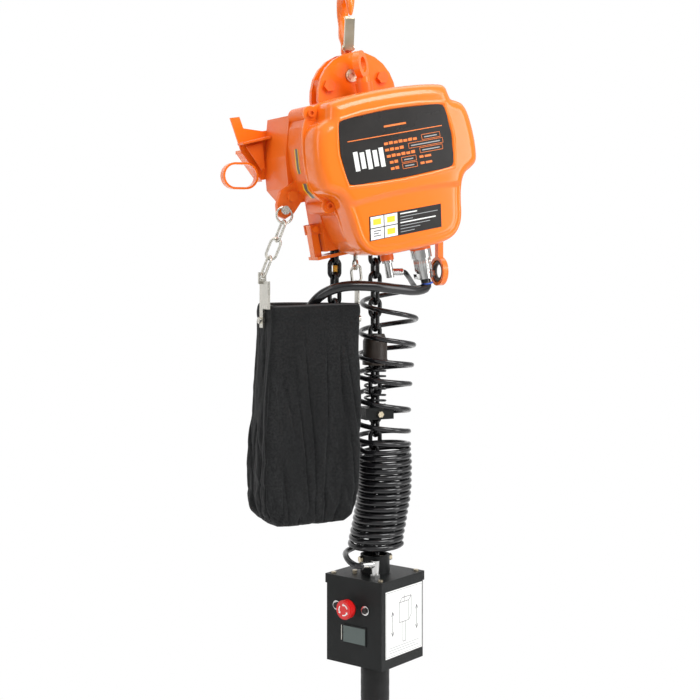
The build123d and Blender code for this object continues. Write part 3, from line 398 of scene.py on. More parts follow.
ALUMINIUM = surface("cast_aluminium", (0.36, 0.36, 0.37), rough=0.42, metal=0.9, drift=0.1,
                    bump=0.1, bump_scale=500)
BLUE = surface("blue_tie", (0.02, 0.10, 0.55), rough=0.4, drift=0.1, bump=0.01)
WIRE_RED = surface("red_wire", (0.55, 0.03, 0.02), rough=0.4, drift=0.1, bump=0.01)
PAINT_MARK = surface("paint_mark", (0.85, 0.42, 0.03), rough=0.5, drift=0.2, scale=200,
                     bump=0.1)
BAG_CLOTH = fabric("bag_cloth", (0.0075, 0.0080, 0.0085))
WEBBING = surface("webbing", (0.014, 0.014, 0.015), rough=0.6, drift=0.3, scale=300,
                  bump=0.35, bump_scale=900)

# ---------------------------------------------------------------- finish of the CAD pieces
# material, then each piece with its bevel width (0: none)
FINISHES = (
    (ORANGE, {"top_hook": 0, "suspension_plates": 0.9, "lifting_eye": 1.6, "limit_lever": 0.6,
              "cable_bracket": 0.5, "cable_ring_right": 0.8, "load_hook": 0}),
    (ORANGE_CAST, {"hook_yoke": 1.2, "suspension_bolts": 0.6, "main_casing": 1.6,
                   "cover_screws": 0.4, "gear_casing": 2.0, "chain_guide": 0.8,
                   "casing_bolts": 0.8}),
    (YELLOW_ZINC, {"top_latch": 0.3, "suspension_pin": 0, "chain_bolts": 0.4,
                   "lid_screws": 0.6, "load_hook_latch": 0}),
    (ZINC, {"bag_rim": 0, "bag_clips": 0.3, "bag_lugs": 0, "bag_chains": 0}),
    (CHROME, {"top_latch_spring": 0, "shaft_bearings": 0, "power_connector": 0.8,
              "elbow_connector_top": 0.6, "panel_rings": 0.7, "elbow_connector_box": 0.6,
              "load_tube": 0}),
    (STEEL, {"lift_wheel": 0, "output_gear_shaft": 0, "layshaft_gears": 0, "motor_rotor": 0,
             "brake_disc": 0, "load_sensor": 0}),
    (BLACK, {"motor_end_cap": 2.0, "stop_block": 1.0, "collar": 0.8, "control_box": 1.6,
             "box_lid": 1.2}),
    (ALUMINIUM, {"motor_housing": 0.6}),
    (COPPER, {"motor_stator": 0}),
    (BOARD_GREEN, {"control_board": 0}),
    (CHAIN_BLACK, {"load_chain": 0, "slack_chain": 0}),
    (RUBBER, {"rubber_bumper": 1.6}),
    (GRIP, {"handle_grip": 1.6}),
    (PLATE_BLACK, {"button_up": 0, "button_down": 0}),
    (PRINT_WHITE, {"instruction_plate": 0}),
    (RED, {"estop_button": 1.8}),
    (LCD, {"display": 0}),
)


def add_bevel(obj, width):
    bevel = obj.modifiers.new("bevel", "BEVEL")
    bevel.width = width / 1000.0
    bevel.segments = 3
    return bevel


for material, pieces in FINISHES:
    for piece, width in pieces.items():
        if piece in nodes:
            nodes[piece].data.materials.clear()
            nodes[piece].data.materials.append(material)
            if width:
                bevel = add_bevel(nodes[piece], width)
                bevel.limit_method = "ANGLE"
                bevel.angle_limit = math.radians(32)

# ---------------------------------------------------------------- front cover (body frame)
COVER_X = 3.0                       # centre line
FRONT_Y, COVER_BACK_Y = -118.0, -74.0
ROUNDING = 17.0                     # radius of the shell's front edge
GRID_STEP = 1.25
EAR_RADIUS = 10.3
# (x from the centre line, z) down one side, top to bottom
SHELL_HALF = [
    (0, -27.6), (45, -29), (80, -33.0), (89.5, -38.0), (92.5, -47), (95.5, -55.5),
    (104, -59.5), (113.0, -66.0), (119.3, -82), (122.5, -113), (121.5, -138), (118.0, -149),
    (109.5, -155.5), (100, -160.5), (93.5, -169), (88.5, -183), (85.6, -198), (83.2, -215),
    (78, -230), (67, -242.5), (50, -248.6), (20, -250.4)]
FLANGE_HALF = [
    (0, -27), (45, -28.5), (86, -33), (104, -42), (114, -60), (119.5, -82), (122, -113),
    (119, -145), (109, -160), (97, -172), (88, -186), (84, -205), (79, -224), (68, -240),
    (50, -248.5), (20, -251)]


def both_sides(half, right=1.0, left=1.0):
    """close a half outline round the centre line, with a width factor for each side"""
    return ([(COVER_X + x * right, z) for x, z in half]
            + [(COVER_X - x * left, z) for x, z in reversed(half) if x > 0])


def barrel(inset):
    """barrel-shaped nameplate outline, drawn in by inset"""
    left, right = -78 + inset, 81 - inset
    top, bottom = -62 - inset, -147 + inset
    upper, lower = (top * 2 + bottom) / 3, (top + bottom * 2) / 3
    middle = (top + bottom) / 2
    return [
        (left, top), (left * 0.55, top + 4.4), (1.5, top + 6.0), (right * 0.55, top + 4.4),
        (right, top), (right + 5.0, upper), (right + 6.4, middle), (right + 5.0, lower),
        (right, bottom), (right * 0.55, bottom - 2.8), (1.5, bottom - 4.0),
        (left * 0.55, bottom - 2.8), (left, bottom), (left - 5.0, lower),
        (left - 6.4, middle), (left - 5.0, upper)]


def cover_depth(x, z, inset):
    """y of the shell face; inset is the distance in from its outline"""
    edge = np.clip(ROUNDING - inset, 0, ROUNDING)
    y = FRONT_Y + ROUNDING - np.sqrt(np.clip(ROUNDING * ROUNDING - edge * edge, 0, None))
    # sunk nameplate seat with a soft raised frame
    seat = outline_distance(barrel(0.0), x, z)
    y = y + 2.2 * smoothstep(-1.2, 1.2, seat)
    frame = smoothstep(-5.6, -3.4, seat) * (1 - smoothstep(-2.2, -0.8, seat))
    y = y - 0.9 * frame * smoothstep(6, 14, inset)
    # chin set back below a bowed line
    line = -169.0 - 5.0 * (np.abs(x - COVER_X) / 90.0) ** 2
    y = y + 4.6 * (1 - smoothstep(-5.0, 5.0, z - line)) * smoothstep(3, 12, inset)
    # face falls back slightly towards both sides
    return y + 2.2 * (np.clip(np.abs(x - COVER_X) / 120.0, 0, 1) ** 4)


def cover_shell():
    """height-field face with a side wall running back to the flange"""
    outline = smooth_outline(both_sides(SHELL_HALF, right=1.03, left=0.985), 4)
    X, Z = np.meshgrid(np.arange(-124, 130 + GRID_STEP, GRID_STEP),
                       np.arange(-256, -22 + GRID_STEP, GRID_STEP))
    inset = outline_distance(outline, X, Z)
    slope_z, slope_x = np.gradient(inset, GRID_STEP)
    slope = np.hypot(slope_x, slope_z) + 1e-9
    keep = inset > -GRID_STEP * 1.5
    # pull the points just outside back onto the outline
    outside = (inset < 0) & keep
    X = np.where(outside, X - inset * slope_x / slope, X)
    Z = np.where(outside, Z - inset * slope_z / slope, Z)
    Y = cover_depth(X, Z, np.clip(inset, 0, None))
    verts = list(zip(X[keep].tolist(), Y[keep].tolist(), Z[keep].tolist()))
    index = -np.ones(X.shape, int)
    index[keep] = np.arange(len(verts))
    faces, rim = [], {}
    for i in range(X.shape[0] - 1):
        for j in range(X.shape[1] - 1):
            cells = ((i, j), (i, j + 1), (i + 1, j + 1), (i + 1, j))
            quad = tuple(int(index[cell]) for cell in cells)
            if min(quad) < 0 or max(inset[cell] for cell in cells) <= 0:
                continue
            faces.append(quad)
            for a, b in zip(quad, quad[1:] + quad[:1]):
                if (b, a) in rim:
                    del rim[(b, a)]
                else:
                    rim[(a, b)] = True
    behind = {}
    for edge in rim:
        for v in edge:
            if v not in behind:
                behind[v] = len(verts)
                verts.append((verts[v][0], COVER_BACK_Y, verts[v][2]))
    faces += [(b, a, behind[a], behind[b]) for a, b in rim]
    return make_mesh("cover_shell", verts, faces, ORANGE, frame=from_body)


cover_parts = [cover_shell(), stepped_plate(
    smooth_outline(both_sides(FLANGE_HALF), 3), centre=(COVER_X, -140.0),
    levels=(-69.05, -73.4, -74.4), shrink=0.992, material=ORANGE)]
# screw ears
for reach, z in ((-101, -44), (101, -44), (-97.5, -171), (97.5, -171)):
    x = COVER_X + reach
    cover_parts.append(stepped_plate(
        [(x + EAR_RADIUS * math.cos(a), z + EAR_RADIUS * math.sin(a)) for a in angles(32)],
        centre=(x, z), levels=(-69.02, -74.0, -75.0), shrink=0.93, material=ORANGE))
cover = join("cover_body", cover_parts)
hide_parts("front_cover")
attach(cover, "hoist")

# ---------------------------------------------------------------- nameplate
NAMEPLATE_Y = FRONT_Y + 1.5
FIELD_Y = NAMEPLATE_Y - 0.95
ROW_PITCH = 8.6
# data rows: text from, text to, cell from, cell to (x)
DATA_ROWS = ((-18, 34, 40, 69), (-18, 12, 18, 72), (-17, 28, 34, 70), (-14, 0, 4, 27),
             (-14, 0, 4, 27))

plates = [flat_plate(from_body, smooth_outline(barrel(0.9), 4), NAMEPLATE_Y, 0.9, PLATE_BLACK)]


def field(x0, x1, z0, z1, material=PRINT_ORANGE):
    plates.append(flat_plate(from_body, rect(x0, x1, z0, z1), FIELD_Y, 0.18, material))


field(-71, 74, -90.6, -89.4)       # divider
field(-14, 20, -79.5, -77.0)       # block above it
for i, height in enumerate((26, 22, 26, 22, 26)):
    x = -66 + i * 9.6
    field(x, x + 6.6, -118 - height / 2, -118 + height / 2, PRINT_WHITE)
for row, (text0, text1, cell0, cell1) in enumerate(DATA_ROWS):
    z = -99.5 - ROW_PITCH * row
    low, high = z - 5.2, z + 2.2
    words = max(2, int((text1 - text0) / 7))
    for i in range(words):
        x = text0 + (text1 - text0) * i / words
        field(x, x + (text1 - text0) / words * 0.78, z - 3.6, z + (0.4 if i % 2 else -0.2))
    field(cell0, cell1, low, z - 4.6)
    field(cell0, cell1, z + 1.6, high)
    field(cell0, cell0 + 0.6, low, high)
    field(cell1 - 0.6, cell1, low, high)
    field(cell0 + 4, cell1 - 5, z - 2.4, z - 1.0, PRINT_GREY)
    if row > 2:
        field(32, 38, z - 3.2, z)
        field(40, 50, z - 3.2, z - 0.3)
nameplate = join("nameplate_sheet", plates)
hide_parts("nameplate")
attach(nameplate, "hoist")

# ---------------------------------------------------------------- lower label, side stickers
LABEL_Y = FRONT_Y + 4.55
LABEL_PRINT_Y = LABEL_Y - 0.32
# body (x, z): top left, top right, bottom right, bottom left
LABEL_CORNERS = ((-56.4, -193.7), (54.6, -195.3), (49.7, -226.8), (-61.5, -226.3))
LINE_ENDS = (66, 95, 60, 92, 84, 70, 62)     # right end of each text line
TEXT_SYMBOL = (10.5, -75)                    # the symbol that holds lines, not a block
# side edge of the flange as rows of depth below the frame origin, half width
FLANK = [(-z, x) for x, z in FLANGE_HALF[4:9]]
STICKERS = ((-56, -44, -122, -88), (-66, -50, -157.5, -136))   # y from, to; z from, to


def from_label(x, y, z):
    """label frame, x in 0..100 across and z in 0..-100 down, to world"""
    across, down = x / 100.0, -z / 100.0
    corners = zip(*LABEL_CORNERS)
    body_x, body_z = [
        (1 - down) * ((1 - across) * top_left + across * top_right)
        + down * ((1 - across) * bottom_left + across * bottom_right)
        for top_left, top_right, bottom_right, bottom_left in corners]
    return from_body(body_x, y, body_z)


plates = [flat_plate(from_label, rect(0, 100, -100, 0), LABEL_Y, 0.3, PLATE_BLACK)]


def label_block(x0, x1, z0, z1, material, thickness=0.1, y=LABEL_PRINT_Y):
    plates.append(flat_plate(from_label, rect(x0, x1, z0, z1), y, thickness, material))


for x, z in ((10.5, -26), (29.5, -26), TEXT_SYMBOL, (29.5, -75)):
    label_block(x - 8.9, x + 8.9, z - 22.5, z + 22.5, PRINT_WHITE, thickness=0.12)
    top_y = LABEL_PRINT_Y - 0.13
    if (x, z) != TEXT_SYMBOL:
        label_block(x - 5.4, x + 5.4, z - 12, z + 12, PRINT_YELLOW, y=top_y)
    else:
        for row in range(3):
            label_block(x - 5, x + 5 - (row % 2) * 3, z + 10 - 10 * row, z + 14 - 10 * row,
                        PRINT_LINE, y=top_y)
for row, end in enumerate(LINE_ENDS):
    heading = row in (0, 3)
    label_block(42.5, end, -14 - 12.4 * row, -(9.0 if heading else 11.4) - 12.4 * row,
                PRINT_WHITE if heading else PRINT_GREY)
# curved stickers on the left flank, each with a narrower dark band on it
for y0, y1, z0, z1 in STICKERS:
    verts = [(COVER_X - lookup(FLANK, -z) - 0.35, y, float(z))
             for z in np.linspace(z0, z1, 9) for y in (y0, y1)]
    band = [(x - 0.1, y0 + 2 + (y - y0) * 0.62, z) for x, y, z in verts]
    for points, material in ((verts, PRINT_YELLOW), (band, PRINT_LINE)):
        plates.append(make_mesh("sticker_part", points, strip_quads(9), material,
                                smooth=False, frame=from_body))
labels = join("printed_labels", plates)
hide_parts("film_labels")
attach(labels, "hoist")

# ---------------------------------------------------------------- power cable
POWER_X, ELBOW_X, CONNECTOR_Y = 47, -7, -45   # connectors under the body, body frame
TIE_RADIUS = 7.6
POWER_PATH = [
    from_body(POWER_X, CONNECTOR_Y, -290), from_body(POWER_X, CONNECTOR_Y, -300),
    (103.5, -47, -407), (94, -51, -411.5), (76, -56, -412.5), (50, -60, -410),
    (8, -62, -405.5), (-30, -54, -406), (-54, -34, -418), (-66, -16, -442), (-69, -10, -476)]

cable = tube("power_cable_run", smooth_path(POWER_PATH, 4.0), 7.0, CABLE, sides=20)
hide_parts("power_cable")
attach(cable, "hoist")
tie = tube("blue_cable_tie",
           [(104.5 + TIE_RADIUS * math.cos(a), -47 + TIE_RADIUS * math.sin(a),
             -403 + 1.5 * math.cos(a)) for a in angles(24)],
           1.1, BLUE, sides=8, closed=True)
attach(tie, "hoist")

# ---------------------------------------------------------------- coiled control cable
elbow_x, elbow_y, elbow_z = from_body(ELBOW_X, CONNECTOR_Y, -280)
# height at each turn: loose above, an even tight pitch below
TURN_Z = [-412, -458, -495, -523, -550, -588, -618, -635.5]
TURN_Z += [-635.5 - 8.95 * i for i in range(1, 17)]
# height, offset of the coil centre from the load strand in x
COIL_OFFSETS = (
    (-785, -0.5), (-765, 2.5), (-745, 7.5), (-714, 13.0), (-682, 15.0), (-650, 14.0),
    (-635, 12.5), (-618, 11.2), (-588, 11.2), (-550, 12.5), (-524, 15.0), (-497, 18.0),
    (-458, 21.5), (-412, 25.0))
# height, coil radius
COIL_RADII = ((-785, 36.0), (-660, 36.0), (-618, 38.0), (-550, 39.5), (-412, 40.0))
COIL_JITTER = 0.35                  # wander of centre and radius from turn to turn
TURN_POINTS = 16


def coil_path():
    path = [(elbow_x + 12, elbow_y, elbow_z), (elbow_x + 24, elbow_y + 2, elbow_z - 0.5),
            (elbow_x + 34, elbow_y + 10, elbow_z - 6), (97, -14, -402)]
    turns = len(TURN_Z) - 1
    jitter = rng.normal(0, 1.0, turns + 2)
    for i in range(turns):
        for j in range(TURN_POINTS):
            t = j / TURN_POINTS
            z = TURN_Z[i] * (1 - t) + TURN_Z[i + 1] * t
            sway = jitter[i] * (1 - t) + jitter[i + 1] * t
            swell = jitter[i + 1] * (1 - t) + jitter[(i + 2) % turns] * t
            centre = LOAD_X + lookup(COIL_OFFSETS, z) + COIL_JITTER * sway
            radius = lookup(COIL_RADII, z) + COIL_JITTER * swell
            a = 2 * math.pi * t
            lean = 2.4 if z < -640 else 0.0
            path.append((centre + radius * math.cos(a), radius * math.sin(a) * 0.98,
                         z + lean * math.cos(a)))
    # last half turn widens, then runs to the front into the box connector
    end_z = TURN_Z[-1]
    for i in range(1, 7):
        a = math.pi * i / 6.0
        radius = 36.0 + 9.0 * (i / 6.0) ** 2
        path.append((LOAD_X + radius * math.cos(a), radius * math.sin(a) * 0.95,
                     end_z - 13.5 * i / 6.0))
    return path + [(-1.0, -14, end_z - 17.0), (2.5, -27, -798.3), (8, -31.6, -798.5),
                   (14, -32, -798.5)]


coil = tube("coiled_control_cable", smooth_path(coil_path(), 3.4), 3.6, CABLE,
            taper=lambda t: 1.0 + 0.16 * float(smoothstep(0.34, 0.42, t)))
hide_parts("coil_cable")
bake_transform(coil)

# ---------------------------------------------------------------- bumper spring, chain mark
SPRING_TOP, SPRING_BOTTOM = -523.5, -577.8
SPRING_RADIUS, SPRING_TURNS, SPRING_STEPS = 14.8, 7, 24

spring_path = []
for i in range(SPRING_TURNS * SPRING_STEPS + 1):
    t = i / (SPRING_TURNS * SPRING_STEPS)
    a = 2 * math.pi * SPRING_TURNS * t
    ease = 0.5 - 0.5 * math.cos(math.pi * t)        # closes the end turns
    spring_path.append((LOAD_X + SPRING_RADIUS * math.cos(a), SPRING_RADIUS * math.sin(a),
                        SPRING_TOP + (SPRING_BOTTOM - SPRING_TOP) * (0.35 * ease + 0.65 * t)))
spring = tube("bumper_coil_spring", spring_path, 1.6, CHAIN_BLACK, sides=10)
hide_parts("bumper_spring")
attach(spring, "load_strand")
mark = tube("chain_paint_mark", [(SLACK_X + 0.3, -1.5, -376), (SLACK_X + 0.2, -1.5, -388)],
            3.28, PAINT_MARK, sides=12)
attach(mark, "slack_strand")

# ---------------------------------------------------------------- cloth bag
BAG_TOP = (-129.0, 2.0, -44.0, 20.0)         # x from, to; y from, to
BAG_BOTTOM = (-143.0, -2.0, -48.0, 30.0)
BAG_TOP_Z, BAG_BOTTOM_Z = -432.0, -732.0
AROUND, DOWN = ((240, 130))
FLOOR_RINGS = 7
SEAMS = (0.163, 0.337, 0.663, 0.837)         # fractions of the way round


def rounded_rect(x0, x1, y0, y1, radius, t):
    """x, y and outward normal at fraction t round a rounded rectangle; t=0 is mid front"""
    width, depth = x1 - x0 - 2 * radius, y1 - y0 - 2 * radius
    arc = math.pi * radius / 2
    cx, cy = (x0 + x1) / 2, (y0 + y1) / 2
    right, back = width / 2, depth / 2
    travel = t * (2 * width + 2 * depth + 4 * arc)
    # length, start and direction of a side; or length, centre and start angle of a corner
    runs = (
        (right, (0, y0 - cy), (1, 0)), (arc, (right, -back), -90),
        (depth, (right + radius, -back), (0, 1)), (arc, (right, back), 0),
        (width, (right, back + radius), (-1, 0)), (arc, (-right, back), 90),
        (depth, (-right - radius, back), (0, -1)), (arc, (-right, -back), 180),
        (right, (-right, y0 - cy), (1, 0)))
    for length, (px, py), heading in runs:
        if travel <= length + 1e-9:
            if isinstance(heading, tuple):
                dx, dy = heading
                return cx + px + dx * travel, cy + py + dy * travel, dy, -dx
            a = math.radians(heading + 90 * travel / length)
            nx, ny = math.cos(a), math.sin(a)
            return cx + px + radius * nx, cy + py + radius * ny, nx, ny
        travel -= length


def bag_fold(x, y, z):
    """outward push of the cloth"""
    f = (BAG_TOP_Z - z) / (BAG_TOP_Z - BAG_BOTTOM_Z)
    waves, pulls, crumple, dents, creases = [noise.noise(Vector(p)) for p in (
        (x / 30.0, y / 22.0, z / 190.0 + 3.0),
        ((x + 0.35 * z) / 26.0 + 9.0, y / 20.0, z / 75.0),
        (x / 9.0, y / 9.0 + 4.0, (z - 0.4 * x) / 16.0),
        ((x - 0.6 * z) / 34.0 + 2.0, y / 30.0, z / 60.0 + 7.0),
        (x / 17.0 + 0.08 * z / 17.0, y / 14.0, z / 210.0 + 1.0))]
    grow = smoothstep(0.05, 0.3, f)          # folds start below the rim
    low = smoothstep(0.55, 0.95, f)          # and sharpen near the floor
    push = 6.0 * waves * grow - (1.8 + 3.4 * low) * abs(pulls) * grow
    push += 0.55 * crumple * (0.35 + grow)
    push -= 2.0 * low * max(0.0, 0.25 - abs(dents)) * 4
    push -= 2.6 * max(0.0, 0.16 - abs(creases)) / 0.16 * grow
    push += 2.6 * math.sin(math.pi * min(1.0, f)) * grow      # belly
    push += 1.0 * math.exp(-((f - 0.030) / 0.022) ** 2)       # hem band
    push -= 0.9 * math.exp(-((f - 0.062) / 0.006) ** 2)       # groove under it
    return float(push)


def bag_row(i):
    """ring of cloth points at row i of DOWN"""
    f = i / DOWN
    z = BAG_TOP_Z + (BAG_BOTTOM_Z - BAG_TOP_Z) * f
    k = min(1.0, f * 1.06)
    x0, x1, y0, y1 = [top * (1 - k) + low * k for top, low in zip(BAG_TOP, BAG_BOTTOM)]
    inset = 1.5
    if f > 0.90:                             # rounds under at the floor
        q = (f - 0.90) / 0.10
        inset += 15.0 * (1 - math.sqrt(max(0.0, 1 - q * q)))
    corner = 4.5 + 9.0 * max(0.0, f - 0.8) / 0.2
    row = []
    for j in range(AROUND):
        t = j / AROUND
        x, y, nx, ny = rounded_rect(x0 + inset, x1 - inset, y0 + inset, y1 - inset, corner, t)
        push = bag_fold(x, y, z)
        if i == 0:
            push -= 1.0
        ripple = 0.8 * math.sin(2 * math.pi * t * 2 + 0.5) * (1 - f) ** 3
        lift_left = 11.0 * f ** 5 * max(0.0, (-118.0 - x) / 26.0)
        lift_right = 5.0 * f ** 6 * max(0.0, (x + 22.0) / 20.0)
        row.append((x + nx * push, y + ny * push, z + ripple + lift_left + lift_right))
    return row


bag_verts, bag_faces = [], []
for i in range(DOWN + 1):
    bag_verts += bag_row(i)
for i in range(DOWN):
    bag_faces += ring_quads(i * AROUND, (i + 1) * AROUND, AROUND)
# floor: cloth drawn in to the middle, sagging a little
last_row = bag_verts[-AROUND:]
mid_x = sum(v[0] for v in last_row) / AROUND
mid_y = sum(v[1] for v in last_row) / AROUND
for ring in range(1, FLOOR_RINGS + 1):
    s = 1 - ring / FLOOR_RINGS * 0.98
    start = len(bag_verts)
    for j, (x, y, z) in enumerate(last_row):
        sag = 1.6 * math.sin(math.pi * (1 - s) / 2)
        bag_verts.append((mid_x + (x - mid_x) * s, mid_y + (y - mid_y) * s,
                          z - sag + 0.6 * math.sin(j * 0.3) * s))
    bag_faces += ring_quads(start - AROUND, start, AROUND)
bag_faces.append(tuple(start + j for j in range(AROUND)))
bag = make_mesh("cloth_bag", bag_verts, bag_faces, BAG_CLOTH)
cloth = bag.modifiers.new("cloth", "SOLIDIFY")
cloth.thickness = 0.0016
cloth.offset = -1

seam_start = int(0.076 * DOWN) * AROUND
stitching = [
    tube("bag_hem", bag_verts[:AROUND], 2.2, WEBBING, sides=8, closed=True),
    tube("bag_seam", bag_verts[seam_start:seam_start + AROUND], 0.7, WEBBING, sides=6,
         closed=True)]
for t in SEAMS:
    column = [bag_verts[i * AROUND + int(t * AROUND)] for i in range(1, DOWN)]
    stitching.append(tube("bag_side_seam", column, 0.8, WEBBING, sides=6))
stitching = join("bag_stitching", stitching)
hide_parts("chain_bag")
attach(bag, "bag_body")
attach(stitching, "bag_body")

# ---------------------------------------------------------------- instruction sheet (box frame)
BOX_HALF = 49.0                     # centre to face
FACE_Y = -BOX_HALF - 0.02           # just proud of the face
PRINT_Y = -BOX_HALF - 0.55
BORDER = ((-38.5, -834), (45, -834), (45, -923.5), (-38.5, -923.5), (-38.5, -834))
# line sketch of a box on a handle: (x, z) polylines
SKETCH = (
    ((-8, -852), (14, -852), (14, -880), (-8, -880), (-8, -852)),
    ((0, -880), (0, -908)), ((6, -880), (6, -908)), ((0, -908), (6, -908)),
    ((3, -852), (3, -842)),
    ((-8, -852), (-2, -846), (20, -846), (14, -852)),
    ((20, -846), (20, -873), (14, -880)))
ARROW_TOP, ARROW_BOTTOM = -862, -896

plates = [flat_plate(from_box, rect(-40, 46.5, -925.5, -832), FACE_Y, 0.5, PRINT_WHITE)]


def stroke(points, width=0.8, material=PRINT_LINE):
    """printed polyline, one thin plate per segment"""
    for (x0, z0), (x1, z1) in zip(points, points[1:]):
        dx, dz = x1 - x0, z1 - z0
        length = math.hypot(dx, dz)
        nx, nz = -dz / length * width / 2, dx / length * width / 2
        outline = [(x0 + nx, z0 + nz), (x1 + nx, z1 + nz), (x1 - nx, z1 - nz),
                   (x0 - nx, z0 - nz)]
        plates.append(flat_plate(from_box, outline, PRINT_Y, 0.08, material))


stroke(BORDER, width=0.7, material=PRINT_GREY)
for line in SKETCH:
    stroke(line)
for x in (-24, 33):                 # double-headed arrows
    stroke(((x, ARROW_TOP), (x, ARROW_BOTTOM)), width=1.0)
    for tip, barb in ((ARROW_TOP, -6), (ARROW_BOTTOM, 6)):
        for side in (-3, 3):
            stroke(((x, tip), (x + side, tip + barb)), width=1.0)
for row in range(3):
    z = -912 - 3.4 * row
    stroke(((-32, z), (38 - 8 * (row % 2), z)), material=PRINT_GREY)
sheet = join("instruction_sheet", plates)
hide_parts("instruction_plate")
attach(sheet, "load_strand")

# ---------------------------------------------------------------- display (box left face)
LEFT, RIGHT, LOW, HIGH = -19.5, 22.5, -910.0, -884.0
BEZEL = 1.6
display = join("display_window", [
    flat_plate(from_box_left, rect(LEFT, RIGHT, LOW, HIGH), FACE_Y, 1.2, BLACK),
    flat_plate(from_box_left, rect(LEFT + BEZEL, RIGHT - BEZEL, LOW + BEZEL, HIGH - BEZEL),
               -BOX_HALF - 1.25, 0.35, LCD),
    flat_plate(from_box_left, rect(LEFT - 2.6, LEFT - 1.4, LOW + 3, HIGH - 2), FACE_Y, 0.9,
               ZINC)])
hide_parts("display")
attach(display, "load_strand")

# ---------------------------------------------------------------- arrows on the stop button
STOP_X, STOP_Z = -4.0, -859.0       # button centre on the left face
STOP_Y = -BOX_HALF - 19.02


def stop_point(radius, angle):
    return (STOP_X + radius * math.cos(angle), STOP_Z + radius * math.sin(angle))


plates = []
for i in range(3):
    start = math.radians(120 * i + 20)
    sweep = [start + math.radians(6 * j) for j in range(12)]
    end = sweep[-1]
    arc = [stop_point(6.6, a) for a in sweep] + [stop_point(8.2, a) for a in reversed(sweep)]
    head = [stop_point(5.2, end), stop_point(9.6, end), stop_point(7.4, end + 0.32)]
    plates += [flat_plate(from_box_left, outline, STOP_Y, 0.2, PRINT_WHITE)
               for outline in (arc, head)]
arrows = join("stop_arrows", plates)
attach(arrows, "estop_body")

# ---------------------------------------------------------------- grip
GRIP_SIDES = 96
# (z, radius): soft top end, slightly wavy barrel, flared foot
GRIP_PROFILE = [(-949.9, 17.0), (-950.2, 19.2), (-951.4, 20.2), (-953.5, 20.5)]
GRIP_PROFILE += [(-953.5 - 4.5 * i, 20.5 + 0.12 * math.sin(i * 1.7)) for i in range(1, 30)]
GRIP_PROFILE += [(-1087.5, 21.0), (-1089.0, 23.0), (-1092.5, 23.5), (-1093.6, 22.8),
                 (-1094.0, 20.0), (-1094.0, 13.0)]

verts, faces = [], []
for z, radius in GRIP_PROFILE:
    for j in range(GRIP_SIDES):
        a = 2 * math.pi * j / GRIP_SIDES
        flute = 0.10 if j % 8 == 0 and -1080 < z < -956 else 0.0
        r = radius - flute
        verts.append((LOAD_X + r * math.cos(a), r * math.sin(a), z))
for i in range(len(GRIP_PROFILE) - 1):
    faces += ring_quads(i * GRIP_SIDES, (i + 1) * GRIP_SIDES, GRIP_SIDES)
grip = make_mesh("grip_sleeve", verts, faces, GRIP)
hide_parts("handle_grip")
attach(grip, "grip_body")
boot = tube("grip_boot",
            [(LOAD_X, 0, z) for z in (-940.2, -944.0, -948.0, -952.0, -956.0, -960.0)],
            16.6, GRIP, sides=40)
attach(boot, "load_strand")

# ---------------------------------------------------------------- small parts on the body
# connector ridges: count, centre x, circle radius, z from, z to, ridge radius
KNURLS = ((30, POWER_X, 12.1, -272, -288, 0.55), (20, ELBOW_X, 7.7, -263.6, -266.8, 0.5))
INSERT_RADIUS = 12.6

ridges = []
for count, x, circle, z0, z1, radius in KNURLS:
    for a in angles(count):
        ends = [from_body(x + circle * math.cos(a), CONNECTOR_Y + circle * math.sin(a), z)
                for z in (z0, z1)]
        ridges.append(tube("ridge_part", ends, radius, CHROME, sides=6))
knurl = join("connector_knurl", ridges)
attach(knurl, "hoist")
insert = tube("ring_rubber_insert",
              [(125.0, -45 + INSERT_RADIUS * math.cos(a), -386 + INSERT_RADIUS * math.sin(a))
               for a in angles(32)],
              3.2, RUBBER, sides=10, closed=True)
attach(insert, "hoist")


def slab(name, outline, y0, y1):
    """bevelled cast block: (x, z) outline from y0 back to y1"""
    k = len(outline)
    verts = [(x, y, z) for y in (y0, y1) for x, z in outline]
    faces = [tuple(range(k)), tuple(range(2 * k - 1, k - 1, -1))]
    faces += [(i, k + i, k + (i + 1) % k, (i + 1) % k) for i in range(k)]
    obj = make_mesh(name, verts, faces, ORANGE_CAST, smooth=False)
    add_bevel(obj, 0.8)
    return obj


ledge = slab("bracket_ledge", [(-142.5, -204.5), (-100.0, -194.0), (-99.0, -197.6),
                               (-141.5, -208.1)], 38.0, 61.0)
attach(ledge, "hoist")
rib = slab("bracket_rib", [(-133.0, -209.5), (-108.0, -203.0), (-104.0, -240.0),
                           (-109.0, -243.0)], 50.0, 53.0)
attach(rib, "hoist")
wire = tube("red_wire_tail",
            smooth_path([(elbow_x + 6, elbow_y - 5.4, elbow_z + 2),
                         (elbow_x + 12, elbow_y - 6.2, elbow_z + 3),
                         (elbow_x + 18, elbow_y - 5.6, elbow_z + 1)], 1.5),
            1.0, WIRE_RED, sides=8)
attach(wire, "hoist")

# ---------------------------------------------------------------- stage
FLOOR_Z = -1270.0
SWEEP_Y, SWEEP_RADIUS = 2200.0, 1200.0       # floor curves up into the back wall


def stage_material():
    """pale matt surface that shows pure white to the camera"""
    material, tree, shader = new_material("stage_pale")
    set_inputs(tree, shader, {"Base Color": (0.80, 0.80, 0.80, 1), "Roughness": 0.9})
    rays = add_node(tree, "LightPath")
    glow = add_node(tree, "Emission", {"Color": (1, 1, 1, 1), "Strength": 1.0})
    mix = add_node(tree, "MixShader", {
        "Fac": rays.outputs["Is Camera Ray"],
        1: shader.outputs["BSDF"],
        2: glow.outputs["Emission"],
    })
    set_inputs(tree, tree.nodes["Material Output"], {"Surface": mix.outputs["Shader"]})
    return material


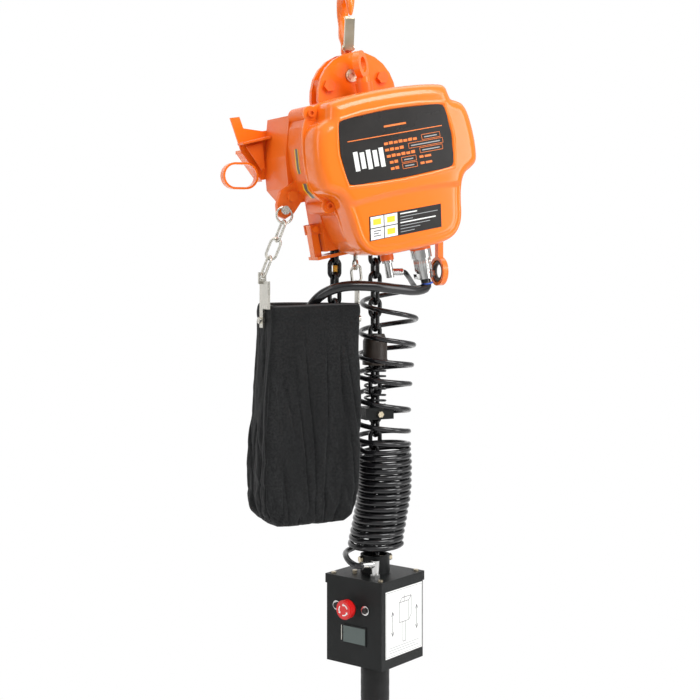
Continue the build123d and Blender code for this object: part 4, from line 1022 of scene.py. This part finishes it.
profile = [(-4000.0, FLOOR_Z), (SWEEP_Y, FLOOR_Z)]
profile += [(SWEEP_Y + SWEEP_RADIUS * math.sin(a), FLOOR_Z + SWEEP_RADIUS * (1 - math.cos(a)))
            for a in np.linspace(0.1, math.pi / 2, 14)]
profile += [(SWEEP_Y + SWEEP_RADIUS, 5000.0)]
stage = make_mesh("stage_floor", [(x, y, z) for y, z in profile for x in (-9000.0, 9000.0)],
                  strip_quads(len(profile)), stage_material())

# ---------------------------------------------------------------- world
# white to the camera; as light, dim below the horizon and brighter above
world = bpy.data.worlds.new("studio")
bpy.context.scene.world = world
world.use_nodes = True
tree = world.node_tree
direction = add_node(tree, "TexCoord").outputs["Generated"]
split = add_node(tree, "SeparateXYZ", {"Vector": direction})
ramp = add_node(tree, "MapRange", {
    "Value": split.outputs["Z"],
    "From Min": -0.25,
    "From Max": 0.45,
    "To Min": 0.20,
    "To Max": 0.78,
})
rays = add_node(tree, "LightPath")
strength = add_node(tree, "Math", {
    0: ramp.outputs["Result"],
    1: rays.outputs["Is Camera Ray"],
}, operation="MAXIMUM")
set_inputs(tree, tree.nodes["Background"], {
    "Color": (1.0, 1.0, 1.0, 1),
    "Strength": strength.outputs["Value"],
})


# ---------------------------------------------------------------- lights and camera (metres)
def area_light(name, location, target, width, height, power):
    light = bpy.data.lights.new(name, "AREA")
    light.energy = power
    light.shape = "RECTANGLE"
    light.size = width
    light.size_y = height
    obj = add_object(name, light)
    obj.location = location
    aim = Vector(target) - Vector(location)
    obj.rotation_euler = aim.to_track_quat("-Z", "Y").to_euler()


area_light("key_top", (0.5, -1.7, 1.3), target=(0.0, 0.0, -0.35),
           width=1.3, height=1.3, power=40)
area_light("side_right", (1.7, -1.9, 0.0), target=(0.0, 0.0, -0.4),
           width=0.9, height=1.8, power=22)
area_light("side_left", (-2.2, -0.5, 0.3), target=(0.0, 0.0, -0.5),
           width=0.5, height=1.6, power=7)
area_light("back_wash", (0.0, 1.2, 1.8), target=(0.0, 3.2, -0.6),
           width=3.0, height=3.0, power=40)

lens = bpy.data.cameras.new("camera")
lens.lens = 72.0
lens.sensor_width = 36.0
lens.shift_y = -0.15
lens.clip_start = 0.05
lens.clip_end = 50
camera = add_object("camera", lens)
camera.location = (-0.83563, -1.80385, -0.3486)
camera.rotation_euler = (math.radians(90), 0, math.radians(-25))
scene = bpy.context.scene
scene.camera = camera
scene.view_settings.view_transform = "Standard"
scene.view_settings.look = "None"
